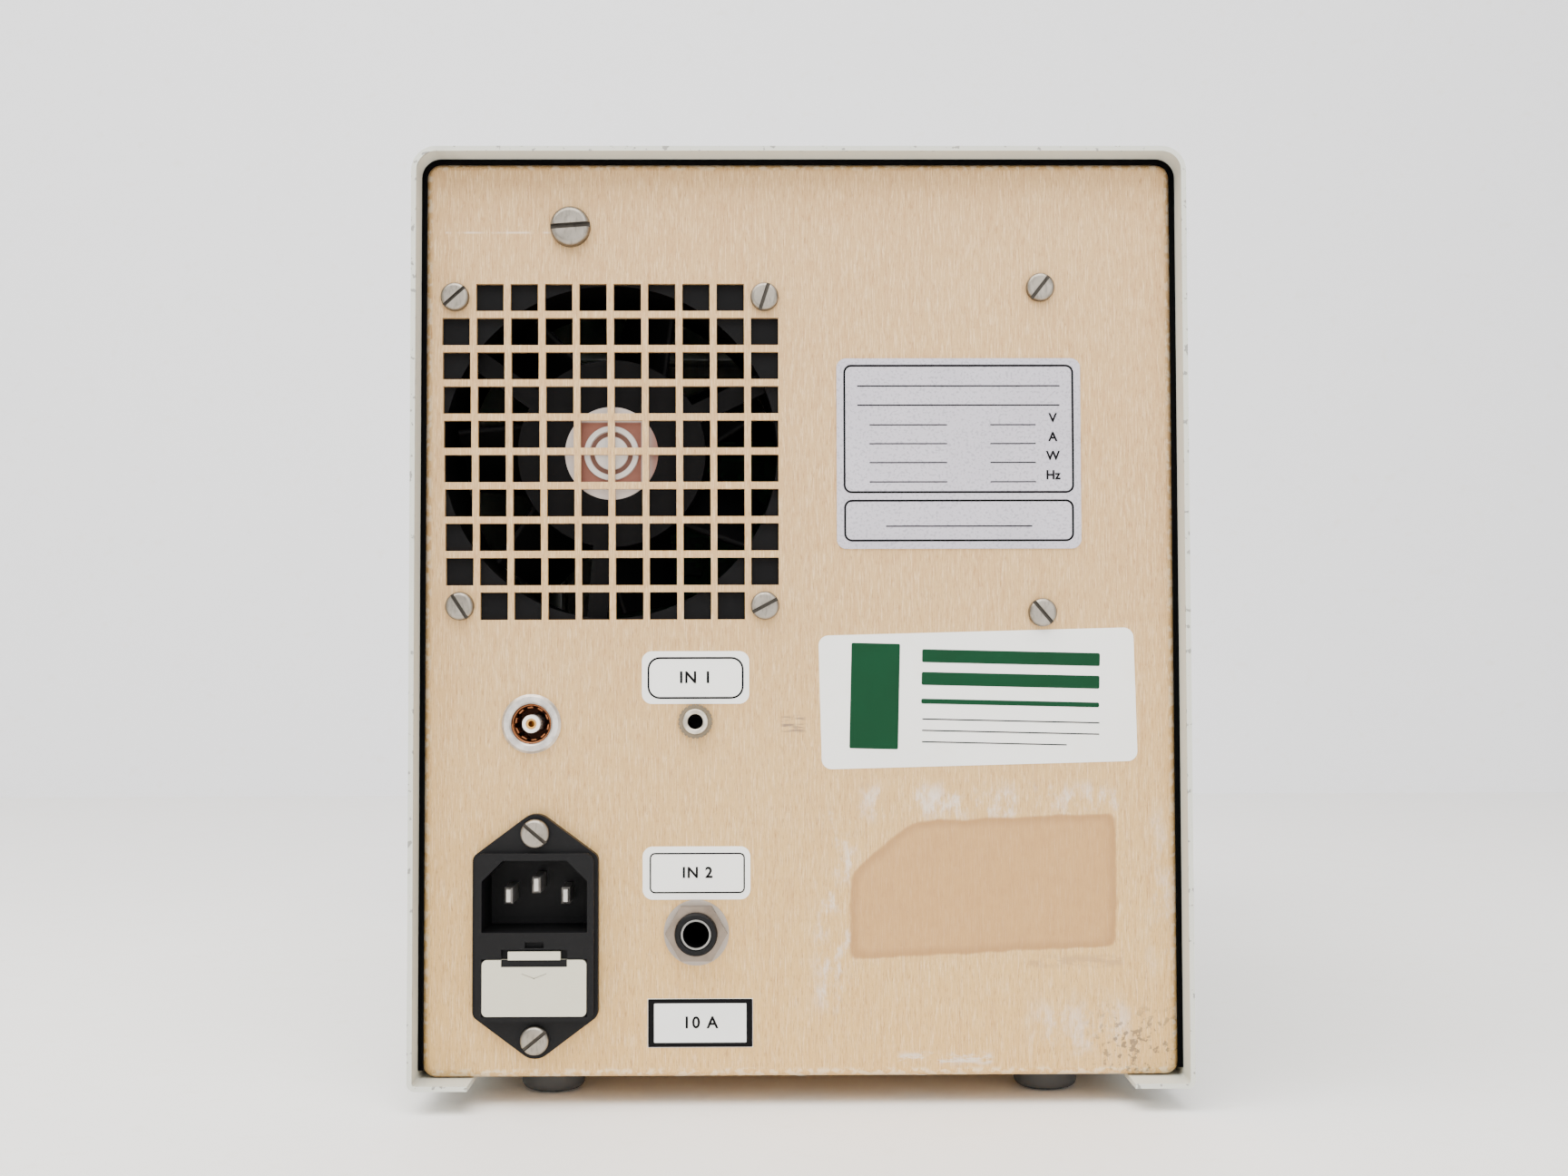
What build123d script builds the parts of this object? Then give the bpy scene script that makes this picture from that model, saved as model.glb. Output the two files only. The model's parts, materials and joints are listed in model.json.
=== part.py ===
from build123d import *
from math import cos, radians, sin
import os

# Bench generator of a probe sonicator, in millimetres. +Z is up, the rear panel faces +Y and the
# origin is the centre of the footprint on the bench. An inset is measured from the nearer side of the case.

# Painted cover
case_width = 190.0
case_height = 235.0
cover_depth = 334.0
cover_sheet = 1.2
cover_corner_radius = 6.0
cover_lip_width = 14.5
cover_screw_inset = 10.0
cover_screw_set_back = 6.6
cover_lip_bend = 2.0
foot_clearance = 5.5

# Front and rear panels, folded as shallow trays
panel_sheet = 1.5
panel_recess = 8.0
panel_gap = 0.8
panel_seat_gap = 0.2
panel_corner_radius = 3.5
panel_bend_radius = 2.2
panel_flange = 12.0

# Base plate
base_sheet = 1.5
base_wall = 12.0
base_bend_radius = 3.0
base_gap = 0.3
vent_slot_length = 40.0
vent_slot_width = 4.0
vent_slot_pitch = 10.0
vent_slot_count = 7
vent_y = 78.0

# Rivets of the chassis
rivet_shank = 4.0
rivet_head = 7.0
rivet_head_height = 0.8
rivet_tail = 6.0
rivet_set_back = 7.2
rivet_x = (-30.0, 0.0, 30.0)

# General clearances
thread_fit = 0.05
running_fit = 0.05
hole_clearance = 0.25

# Small pan-head screws and their nuts
screw_head = 7.0
screw_head_height = 2.2
screw_shank = 3.5
screw_slot = 0.9
nut_width = 5.8
nut_height = 2.4
nut_overrun = 1.2
lip_screw_length = 8.0
small_screw_head = 5.5
small_screw_head_height = 2.0
small_screw_shank = 3.0
small_screw_length = 8.0

# Tie bar along the top and its large slotted screw
tie_inset = 38.2
tie_z = 216.65
tie_diameter = 8.0
tie_screw_head = 9.9
tie_screw_head_height = 3.0
tie_screw_shank = 4.8
tie_screw_length = 14.0

# Fan behind its punched grille
fan_inset = 48.0
fan_z = 160.8
grille_count = 10
grille_pitch = 8.53
grille_squeeze = 1.5
grille_hole = 6.8
grille_border = 1.5
fan_size = 88.0
fan_depth = 38.0
fan_corner = 4.0
fan_flange = 4.0
fan_bore = 83.0
fan_tube_wall = 1.8
fan_strut_width = 5.0
fan_strut_depth = 3.0
fan_base_diameter = 47.0
fan_base_depth = 5.0
fan_base_setback = 3.5
fan_strut_angles = (35, 155, 275)
fan_strut_overlap = 1.5
fan_cap_diameter = 23.3
fan_cap_depth = 2.0
fan_ring_diameter = 13.6
fan_ring_width = 1.3
fan_ring_height = 0.8
fan_button_diameter = 8.4
fan_button_height = 0.5
fan_hub_diameter = 46.0
fan_hub_wall = 2.0
fan_hub_depth = 24.0
fan_blade_count = 7
fan_blade_diameter = 79.0
fan_blade_chord = 25.0
fan_blade_thickness = 1.6
fan_blade_pitch = 42.0
fan_blade_washout = 10.0
fan_shaft_diameter = 4.0
bearing_diameter = 10.0
bearing_width = 4.0
bearing_tube_wall = 2.0
bearing_setback = 0.3
bearing_tube_length = 15.0
hub_running_gap = 0.8
stator_diameter = 36.0
stator_depth = 13.0
stator_slots = 6
stator_slot_diameter = 7.2
fan_slots = (42, -57, 72, 28)

# Heat sink on the right of the rear panel
sink_inset = 35.0
sink_screw_z = (201.5, 120.6)
sink_screw_slots = (52, -50)
sink_screw_length = 11.5
sink_base = 8.0
sink_margin = 13.0
sink_length = 160.0
sink_fin_count = 10
sink_fin_height = 22.0
sink_fin_thickness = 2.2
transistor_size = (5.0, 16.0, 20.0)
transistor_pitch = 34.0
transistor_count = 4
transistor_first = 24.0
transistor_hole_rise = 5.0
lead_pitch = 5.0
lead_size = (0.8, 1.4, 13.0)

# Mains inlet with its fuse drawer
inlet_inset = 30.2
inlet_z = 41.8
inlet_width = 30.6
inlet_side = 41.0
inlet_screw_spacing = 50.0
inlet_screw_slots = (-40, 39)
inlet_lug_radius = 4.6
inlet_lug_thickness = 3.0
inlet_body_width = 28.8
inlet_body_height = 40.6
inlet_stand_out = 5.0
inlet_body_depth = 30.0
inlet_neck_width = 27.0
inlet_neck_height = 39.6
inlet_corner = 2.3
socket_width = 25.6
socket_height = 17.4
socket_z = 51.65
socket_depth = 16.5
socket_chamfer = 5.0
pin_spacing = 14.0
pin_offset = 2.8
pin_rise = 1.0
pin_width = 2.0
pin_height = 4.0
pin_recess = 5.0
earth_pin_lead = 1.5
pin_bevel = 0.5
pin_tail = 8.0
drawer_width = 25.3
drawer_height = 13.6
drawer_z = 29.6
drawer_depth = 26.0
drawer_face = 1.5
drawer_gap = 0.15
drawer_wall = 1.2
drawer_stand_out = 0.3
drawer_corner = 1.2
bay_rim = 0.8
latch_width = 12.7
latch_height = 2.0
latch_notch_width = 16.0
latch_notch_height = 2.3
latch_pocket_height = 1.7
latch_pocket_depth = 1.3
key_slot_width = 4.6
key_slot_height = 1.4
key_slot_rise = 1.1
fuse_diameter = 5.0
fuse_length = 20.0
fuse_spacing = 11.0

# Output socket
output_inset = 28.8
output_z = 93.4
output_flange = 14.6
output_rim_bevel = 0.6
output_mouth_bevel = 0.45
output_flange_height = 1.4
output_body = 12.0
output_bore = 9.9
output_depth = 18.0
output_body_length = 24.0
output_insulator_diameter = 4.4
output_insulator_setback = 0.4
output_contact_setback = 0.8
output_contact_hole_depth = 8.0
output_contact_tail = 5.0
output_nut_height = 2.5
output_contact_hole = 1.6
output_contact_diameter = 2.6

# Small jack (3.5 mm) and large jack (6.35 mm)
small_jack_inset = 69.2
small_jack_z = 93.9
small_jack_bore = 3.6
small_jack_neck = 6.3
small_jack_ring = 8.4
small_jack_ring_height = 2.0
small_jack_stand_out = 0.4
small_jack_knurls = 24
small_jack_knurl = 0.5
small_jack_mouth = 0.35
small_jack_body = 11.0
small_jack_length = 14.0
large_jack_inset = 69.4
large_jack_z = 42.2
large_jack_bore = 6.4
large_jack_neck = 10.4
large_jack_stand_out = 5.0
large_jack_mouth = 7.8
large_jack_rounding = 0.6
large_jack_mouth_depth = 0.9
large_jack_washer = 16.0
large_jack_washer_height = 0.8
large_jack_nut = 13.2
large_jack_nut_height = 2.4
large_jack_body = 17.0
large_jack_length = 30.0

# Plates and labels on the rear panel
plate_width = 60.6
plate_height = 47.4
plate_inset = 55.5
plate_z = 160.1
plate_thickness = 0.4
plate_radius = 2.4
label_thickness = 0.15
jack_label_width = 26.5
jack_label_height = 13.0
small_label_z = 104.7
large_label_z = 56.7
fuse_label_width = 25.8
fuse_label_height = 11.9
fuse_label_inset = 70.3
fuse_label_z = 20.15
sticker_width = 78.0
sticker_height = 33.0
sticker_inset = 51.1
sticker_z = 99.4
sticker_tilt = 1.4
label_radius = 2.5

# Feet
foot_side_inset = 32.0
foot_end_inset = 30.0
foot_diameter = 16.0
foot_edge = 2.0
foot_screw_recess = 4.0

# Mains transformer on the base
transformer_inset = 51.0
transformer_y = -20.0
core_width = 84.0
core_height = 70.0
core_depth = 42.0
core_leg = 14.0
coil_overhang = 16.0
coil_gap = 0.3
coil_rounding = 5.0
bracket_sheet = 1.5
bracket_foot = 14.0
bracket_rivet_inset = 11.8
bracket_rivet_reach = 8.4
core_bolt = 4.0
core_bolt_head = 7.0
core_bolt_head_height = 3.0

# Power board on the base
board_thickness = 1.6
spacer_length = 10.0
spacer_width = 6.0
spacer_stub = 4.2
spacer_inset = 5.0
board_side_gap = 10.0
board_core_gap = 13.0
board_corner = 2.0
power_board_y = -2.0
power_board_length = 220.0
capacitor_diameter = 35.0
capacitor_height = 50.0
capacitor_y = -68.0
capacitor_gap = 5.0
capacitor_rounding = 1.5
rectifier_y = -102.0
rectifier_size = (28.0, 12.0, 22.0)
ferrite_width = 55.0
ferrite_height = 44.0
ferrite_depth = 21.0
ferrite_y = 34.0
ferrite_leg = 8.8
ferrite_window = 9.9
bobbin_overhang = 8.0
bobbin_rounding = 3.0
toroid_outer = 46.0
toroid_inner = 20.0
toroid_height = 18.0
toroid_y = 78.0
toroid_rounding = 4.0

# Front panel: display, keys, knob and rocker
control_board_margin = 20.0
control_board_height = 130.0
control_board_z = 134.0
chip_width = 13.0
chip_height = 4.0
chip_places = [(-40, -14, 44), (10, -14, 36), (10, -34, 20), (-40, -39, 20), (45, 16, 20)]
overlay_margin = 9.0
overlay_low = 62.0
overlay_high = 226.0
overlay_thickness = 0.8
overlay_radius = 4.0
window_width = 72.0
window_height = 26.0
window_z = 196.0
key_width = 22.0
key_height = 13.0
key_pitch_x = 30.0
key_pitch_z = 19.0
key_columns = 4
key_rows = 4
key_rise = 0.5
key_corner = 2.0
keys_z = 122.0
display_depth = 9.0
display_drop = 5.0
display_border = 5.0
glass_size = (68.0, 14.0)
knob_inset = 47.0
knob_z = 36.0
knob_diameter = 30.0
knob_stand_out = 6.0
knob_gap = 0.6
knob_grips = 24
knob_grip = 1.8
knob_line_width = 1.6
knob_line_depth = 0.8
knob_end_wall = 3.0
knob_skirt_bore = 16.4
knob_skirt_depth = 4.7
knob_line_length = 10.0
knob_line_rise = 9.0
pot_diameter = 24.0
pot_depth = 12.0
pot_neck = 9.0
pot_nut_width = 12.0
pot_nut_height = 2.0
pot_neck_overrun = 1.0
pot_end_wall = 2.0
pot_shaft_diameter = 6.0
switch_inset = 45.0
switch_z = 36.0
switch_width = 24.0
switch_height = 32.0
switch_bezel = 2.0
switch_neck_width = 21.6
switch_neck_height = 28.6
switch_depth = 22.0
rocker_width = 17.4
rocker_half = 12.0
rocker_gap = 0.3
rocker_tilt = 12.0
rocker_pin = 3.0
rocker_pin_reach = 1.2
rocker_pivot_lead = 0.5
rocker_end_gap = 1.0
rocker_crown = 4.0
rocker_dish = 1.4
rocker_heel = 6.0
rocker_heel_half = 4.0
switch_cavity_depth = 9.0
switch_corner = 1.5

# Places that follow from the sizes above
rear_rim_y = (cover_depth + knob_stand_out) / 2
front_rim_y = rear_rim_y - cover_depth
rear_face_y = rear_rim_y - panel_recess
front_face_y = front_rim_y + panel_recess
rear_inner_y = rear_face_y - panel_sheet
front_inner_y = front_face_y + panel_sheet
knob_front_y = front_rim_y - knob_stand_out
lip_top_z = foot_clearance + cover_sheet
panel_low_z = lip_top_z + panel_seat_gap
panel_high_z = case_height - cover_sheet - panel_gap
panel_width = case_width - 2 * (cover_sheet + panel_gap)
base_low_z = panel_low_z + panel_sheet
base_top_z = base_low_z + base_sheet
base_width = panel_width - 2 * (panel_sheet + base_gap)
tie_x = case_width / 2 - tie_inset
fan_x = case_width / 2 - fan_inset
inlet_x = case_width / 2 - inlet_inset
output_x = case_width / 2 - output_inset
small_jack_x = case_width / 2 - small_jack_inset
large_jack_x = case_width / 2 - large_jack_inset
fuse_label_x = case_width / 2 - fuse_label_inset
plate_x = plate_inset - case_width / 2
sticker_x = sticker_inset - case_width / 2
sink_screw_x = sink_inset - case_width / 2
knob_x = case_width / 2 - knob_inset
switch_x = switch_inset - case_width / 2
transformer_x = case_width / 2 - transformer_inset
foot_x = case_width / 2 - foot_side_inset
fan_rear_y = rear_inner_y
inlet_face_y = rear_face_y + inlet_stand_out
inlet_lug_y = rear_face_y + inlet_lug_thickness
inlet_screws_at = [(inlet_x, inlet_z + i * inlet_screw_spacing / 2) for i in (1, -1)]
foot_y = (rear_rim_y - foot_end_inset, front_rim_y + foot_end_inset)
foot_places = [(x, y) for x in (foot_x, -foot_x) for y in foot_y]
cover_screw_x = case_width / 2 - cover_screw_inset
cover_screw_y = (rear_face_y - cover_screw_set_back, front_face_y + cover_screw_set_back)
rivet_y = (rear_inner_y - rivet_set_back, front_inner_y + rivet_set_back)
core_low_z = base_top_z + bracket_sheet
core_front_y = transformer_y - core_depth / 2
core_rear_y = transformer_y + core_depth / 2
bracket_rivets = [
    (transformer_x + i * (core_width / 2 - bracket_rivet_inset), y)
    for i in (1, -1)
    for y in (core_rear_y + bracket_rivet_reach, core_front_y - bracket_rivet_reach)
]
power_board_low_x = board_side_gap - case_width / 2
power_board_high_x = transformer_x - core_width / 2 - board_core_gap
power_board_width = power_board_high_x - power_board_low_x
power_board_x = (power_board_low_x + power_board_high_x) / 2
spacer_places = [
    (
        power_board_x + i * (power_board_width / 2 - spacer_inset),
        power_board_y + j * (power_board_length / 2 - spacer_inset),
    )
    for i in (1, -1)
    for j in (1, 0, -1)
]
board_low_z = base_top_z + spacer_length
board_top_z = board_low_z + board_thickness
control_board_width = case_width - 2 * control_board_margin
overlay_width = case_width - 2 * overlay_margin
control_places = [
    (
        i * (control_board_width / 2 - spacer_inset),
        control_board_z + j * (control_board_height / 2 - spacer_inset),
    )
    for i in (1, -1)
    for j in (1, -1)
]
control_y = front_inner_y + spacer_length
sink_low_z = min(sink_screw_z) - sink_margin
sink_high_z = max(sink_screw_z) + sink_margin
sink_height = sink_high_z - sink_low_z
sink_z = (sink_low_z + sink_high_z) / 2
sink_outer_x = sink_screw_x - sink_base / 2
sink_inner_x = sink_screw_x + sink_base / 2
transistor_places = [
    (rear_inner_y - transistor_first - i * transistor_pitch, sink_z) for i in range(transistor_count)
]
pin_places = [
    (inlet_x - pin_spacing / 2, socket_z + pin_rise - pin_offset / 2, 0.0),
    (inlet_x + pin_spacing / 2, socket_z + pin_rise - pin_offset / 2, 0.0),
    (inlet_x, socket_z + pin_rise + pin_offset / 2, earth_pin_lead),
]
on_its_end = (Align.CENTER, Align.CENTER, Align.MIN)
os.makedirs("parts", exist_ok=True)


def upright(y):
    """Plane across the case at depth y: its x and y are the case's X and Z, and it extrudes forwards."""
    return Plane.XZ.offset(-y)


def save(piece, label):
    """Name a finished piece and write it."""
    piece.label = label
    export_step(piece, f"parts/{label}.step")


def outline(width, low, high, top_radius, bottom_radius):
    """Rounded outline centred on X = 0, with its own radii at the top and bottom corners."""
    with BuildSketch() as shape:
        with Locations((0, (low + high) / 2)):
            Rectangle(width, high - low)
        fillet(shape.vertices().group_by(Axis.Y)[-1], top_radius)
        fillet(shape.vertices().group_by(Axis.Y)[0], bottom_radius)
    return shape.sketch


def slotted_screw(head, height, shank, length):
    """Slotted pan-head screw along Y: its seat is at Y = 0, the head behind it and the shank before."""
    with BuildPart() as screw:
        with BuildSketch(upright(height)):
            Circle(head / 2)
        extrude(amount=height)
        crown = screw.edges().filter_by_position(Axis.Y, height - 0.01, height + 0.01)
        fillet(crown, height * 0.45)
        with BuildSketch(upright(0)):
            Circle(shank / 2)
        extrude(amount=length)
        with BuildSketch(upright(height)):
            Rectangle(head * 1.1, screw_slot * head / screw_head)
        extrude(amount=height * 0.5, mode=Mode.SUBTRACT)
    return screw.part


def hexagon_ring(across_flats, bore, height):
    """Hexagonal nut along Z, standing on Z = 0."""
    with BuildPart() as nut:
        with BuildSketch():
            RegularPolygon(across_flats / 2, 6, major_radius=False)
            Circle(bore / 2, mode=Mode.SUBTRACT)
        extrude(amount=height)
    return nut.part


def along_y(x, y, z, turn=0.0):
    """Place for a piece made along Y, turned about its own axis."""
    return Location((x, y, z), (0, turn, 0))


def z_to_rear(x, y, z):
    """Place for a piece made along Z so that its +Z end points to the rear."""
    return Location((x, y, z), (-90, 0, 0))


# Cover: one sheet folded over the top and sides, with a narrow lip under each side
with BuildPart() as cover:
    with BuildSketch(upright(rear_rim_y)):
        add(outline(case_width, foot_clearance, case_height, cover_corner_radius, cover_lip_bend))
        add(
            outline(
                case_width - 2 * cover_sheet,
                lip_top_z,
                case_height - cover_sheet,
                cover_corner_radius - cover_sheet,
                cover_lip_bend - cover_sheet,
            ),
            mode=Mode.SUBTRACT,
        )
        with Locations((0, foot_clearance)):
            Rectangle(case_width - 2 * cover_lip_width, 4 * cover_sheet, mode=Mode.SUBTRACT)
    extrude(amount=cover_depth)
    for y in cover_screw_y:
        with Locations((cover_screw_x, y, foot_clearance), (-cover_screw_x, y, foot_clearance)):
            Cylinder(screw_shank / 2 + hole_clearance, 4 * cover_sheet, mode=Mode.SUBTRACT)
save(cover.part, "cover")


def panel_tray(face_y, towards_front):
    """Folded tray: a face at face_y with a flange all round that turns into the case."""
    side = 1 if towards_front else -1
    with BuildPart() as tray:
        with BuildSketch(upright(face_y)):
            add(outline(panel_width, panel_low_z, panel_high_z, panel_corner_radius, panel_corner_radius))
        extrude(amount=side * panel_flange)
        face_edges = tray.edges().filter_by_position(Axis.Y, face_y - 0.01, face_y + 0.01)
        fillet(face_edges, panel_bend_radius)
        with BuildSketch(upright(face_y - side * panel_sheet)):
            add(
                outline(
                    panel_width - 2 * panel_sheet,
                    panel_low_z + panel_sheet,
                    panel_high_z - panel_sheet,
                    panel_corner_radius - panel_sheet,
                    panel_corner_radius - panel_sheet,
                )
            )
        extrude(amount=side * panel_flange, mode=Mode.SUBTRACT)
        for x in rivet_x:
            with Locations((x, rivet_y[0] if towards_front else rivet_y[1], panel_low_z)):
                Cylinder(rivet_shank / 2 + thread_fit, 4 * panel_sheet, mode=Mode.SUBTRACT)
        for x in (cover_screw_x, -cover_screw_x):
            with Locations((x, cover_screw_y[0] if towards_front else cover_screw_y[1], panel_low_z)):
                Cylinder(screw_shank / 2 + thread_fit, 4 * panel_sheet, mode=Mode.SUBTRACT)
    return tray.part


def grille_place(column, row):
    """Centre of a grille cell. The rows get a little narrower towards the lowest, all on the +X side."""
    last = grille_count - 1
    squeeze = grille_squeeze * column / last * (1 - row / last)
    return (
        fan_x + (column - last / 2) * grille_pitch - squeeze,
        fan_z + (row - last / 2) * grille_pitch,
    )


# The grille's four corner cells stay solid and carry the fan's screws
end_cells = (grille_count - 1, 0)
fan_corners = [grille_place(column, row) for column in end_cells for row in end_cells]
grille_cells = [
    grille_place(column, row)
    for column in range(grille_count)
    for row in range(grille_count)
    if not (column in end_cells and row in end_cells)
]

# Pierced field in front of the fan. It closes a square opening of the rear panel, flush on both faces.
field_width = (grille_count - 1) * grille_pitch + grille_hole + 2 * grille_border
with BuildPart() as fan_grille:
    with BuildSketch(upright(rear_face_y)):
        with Locations((fan_x, fan_z)):
            Rectangle(field_width, field_width)
        with Locations(*grille_cells):
            Rectangle(grille_hole, grille_hole, mode=Mode.SUBTRACT)
        with Locations(*fan_corners):
            Circle(screw_shank / 2 + hole_clearance, mode=Mode.SUBTRACT)
    extrude(amount=panel_sheet)
save(fan_grille.part, "fan_grille")

# Rear panel with its cut-outs
with BuildPart() as rear_panel:
    add(panel_tray(rear_face_y, True))
    with BuildSketch(upright(rear_face_y)):
        with Locations((fan_x, fan_z)):
            Rectangle(field_width, field_width)
        with Locations(*[(sink_screw_x, z) for z in sink_screw_z], *inlet_screws_at):
            Circle(screw_shank / 2 + hole_clearance)
        with Locations((tie_x, tie_z)):
            Circle(tie_screw_shank / 2 + hole_clearance)
        with Locations((inlet_x, inlet_z)):
            Rectangle(inlet_neck_width + 2 * hole_clearance, inlet_neck_height + 2 * hole_clearance)
        with Locations((output_x, output_z)):
            Circle(output_body / 2 + thread_fit)
        with Locations((small_jack_x, small_jack_z)):
            Circle(small_jack_neck / 2 + thread_fit)
        with Locations((large_jack_x, large_jack_z)):
            Circle(large_jack_neck / 2 + thread_fit)
    extrude(amount=panel_sheet, mode=Mode.SUBTRACT)
save(rear_panel.part, "rear_panel")

# Front panel with its window, knob and rocker cut-outs
with BuildPart() as front_panel:
    add(panel_tray(front_face_y, False))
    with BuildSketch(upright(front_inner_y)):
        with Locations((0, window_z)):
            Rectangle(window_width + 2 * thread_fit, window_height + 2 * thread_fit)
        with Locations((knob_x, knob_z)):
            Circle(pot_neck / 2 + thread_fit)
        with Locations((switch_x, switch_z)):
            Rectangle(switch_neck_width + 2 * thread_fit, switch_neck_height + 2 * thread_fit)
        with Locations(*control_places, (tie_x, tie_z)):
            Circle(spacer_stub / 2 + thread_fit)
    extrude(amount=panel_sheet, mode=Mode.SUBTRACT)
save(front_panel.part, "front_panel")

# Base plate: a shallow channel between the panels
base_length = rear_inner_y - front_inner_y - 2 * base_gap
base_y = (rear_inner_y + front_inner_y) / 2
with BuildPart() as base_plate:
    with BuildSketch(upright(rear_inner_y - base_gap)):
        with Locations((0, base_low_z + base_wall / 2)):
            Rectangle(base_width, base_wall)
        with Locations((0, base_top_z + base_wall / 2)):
            Rectangle(base_width - 2 * base_sheet, base_wall, mode=Mode.SUBTRACT)
    extrude(amount=base_length)
    outer_folds = base_plate.edges().filter_by(Axis.Y).group_by(Axis.Z)[0]
    fillet(outer_folds, base_bend_radius)
    inner_folds = base_plate.edges().filter_by(Axis.Y).filter_by_position(
        Axis.Z, base_top_z - 0.01, base_top_z + 0.01
    )
    fillet(inner_folds, base_bend_radius - base_sheet)
    with BuildSketch(Plane.XY.offset(base_low_z)):
        with Locations(*foot_places):
            Circle(screw_shank / 2 + hole_clearance)
        with Locations(*[(x, y) for x in rivet_x for y in rivet_y], *bracket_rivets):
            Circle(rivet_shank / 2 + thread_fit)
        with Locations(*[(x, y) for x in (cover_screw_x, -cover_screw_x) for y in cover_screw_y]):
            Circle(screw_shank / 2 + thread_fit)
        with Locations(*spacer_places):
            Circle(spacer_stub / 2 + thread_fit)
        with Locations((transformer_x, vent_y)):
            with GridLocations(vent_slot_length, vent_slot_pitch, 1, vent_slot_count):
                SlotOverall(vent_slot_length, vent_slot_width)
    extrude(amount=base_sheet, mode=Mode.SUBTRACT)
save(base_plate.part, "base_plate")

# Screws that hold the cover's lips to the chassis, from below
lip_screw = slotted_screw(screw_head, screw_head_height, screw_shank, lip_screw_length)
with BuildPart() as cover_screws:
    for x in (cover_screw_x, -cover_screw_x):
        for y in cover_screw_y:
            with Locations(Location((x, y, foot_clearance), (-90, 0, 0))):
                add(lip_screw)
save(cover_screws.part, "cover_screws")

# Rubber feet with their screws and nuts
with BuildPart() as rubber_feet:
    with BuildSketch():
        with Locations(*foot_places):
            Circle(foot_diameter / 2)
    extrude(amount=base_low_z)
    fillet(rubber_feet.edges().group_by(Axis.Z)[0], foot_edge)
    with BuildSketch():
        with Locations(*foot_places):
            Circle(screw_head / 2 + hole_clearance)
    extrude(amount=foot_screw_recess, mode=Mode.SUBTRACT)
    with BuildSketch():
        with Locations(*foot_places):
            Circle(screw_shank / 2 + hole_clearance)
    extrude(amount=base_low_z, mode=Mode.SUBTRACT)
save(rubber_feet.part, "rubber_feet")

foot_screw_length = base_top_z + nut_height + nut_overrun - foot_screw_recess
foot_screw = slotted_screw(screw_head, screw_head_height, screw_shank, foot_screw_length)
with BuildPart() as foot_screws:
    for x, y in foot_places:
        with Locations(Location((x, y, foot_screw_recess), (-90, 0, 0))):
            add(foot_screw)
save(foot_screws.part, "foot_screws")

screw_nut = hexagon_ring(nut_width, screw_shank + 2 * thread_fit, nut_height)

# Rivets: panels to base, and transformer brackets to base
with BuildPart() as chassis_rivets:
    for x, y, low in (
        [(x, y, panel_low_z) for x in rivet_x for y in rivet_y]
        + [(x, y, base_low_z) for x, y in bracket_rivets]
    ):
        grip = panel_sheet + base_sheet
        with Locations((x, y, low - rivet_head_height)):
            Cylinder(rivet_head / 2, rivet_head_height, align=on_its_end)
            Cylinder(rivet_shank / 2, grip + 2 * rivet_head_height, align=on_its_end)
        with Locations((x, y, low + grip)):
            Cylinder(rivet_tail / 2, rivet_head_height, align=on_its_end)
save(chassis_rivets.part, "chassis_rivets")

# Tie bar between the panels, with the large slotted screw at its rear end
with BuildPart() as tie_bar:
    with BuildSketch(upright(rear_inner_y)):
        with Locations((tie_x, tie_z)):
            Circle(tie_diameter / 2)
    extrude(amount=rear_inner_y - front_inner_y)
    with BuildSketch(upright(front_inner_y)):
        with Locations((tie_x, tie_z)):
            Circle(spacer_stub / 2)
    extrude(amount=panel_sheet)
    with BuildSketch(upright(rear_inner_y)):
        with Locations((tie_x, tie_z)):
            Circle(tie_screw_shank / 2 + thread_fit)
    extrude(amount=tie_screw_length + 2, mode=Mode.SUBTRACT)
save(tie_bar.part, "tie_bar")

with BuildPart() as tie_bar_screw:
    with Locations(along_y(tie_x, rear_face_y, tie_z, 4)):
        add(slotted_screw(tie_screw_head, tie_screw_head_height, tie_screw_shank, tie_screw_length))
save(tie_bar_screw.part, "tie_bar_screw")

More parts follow.
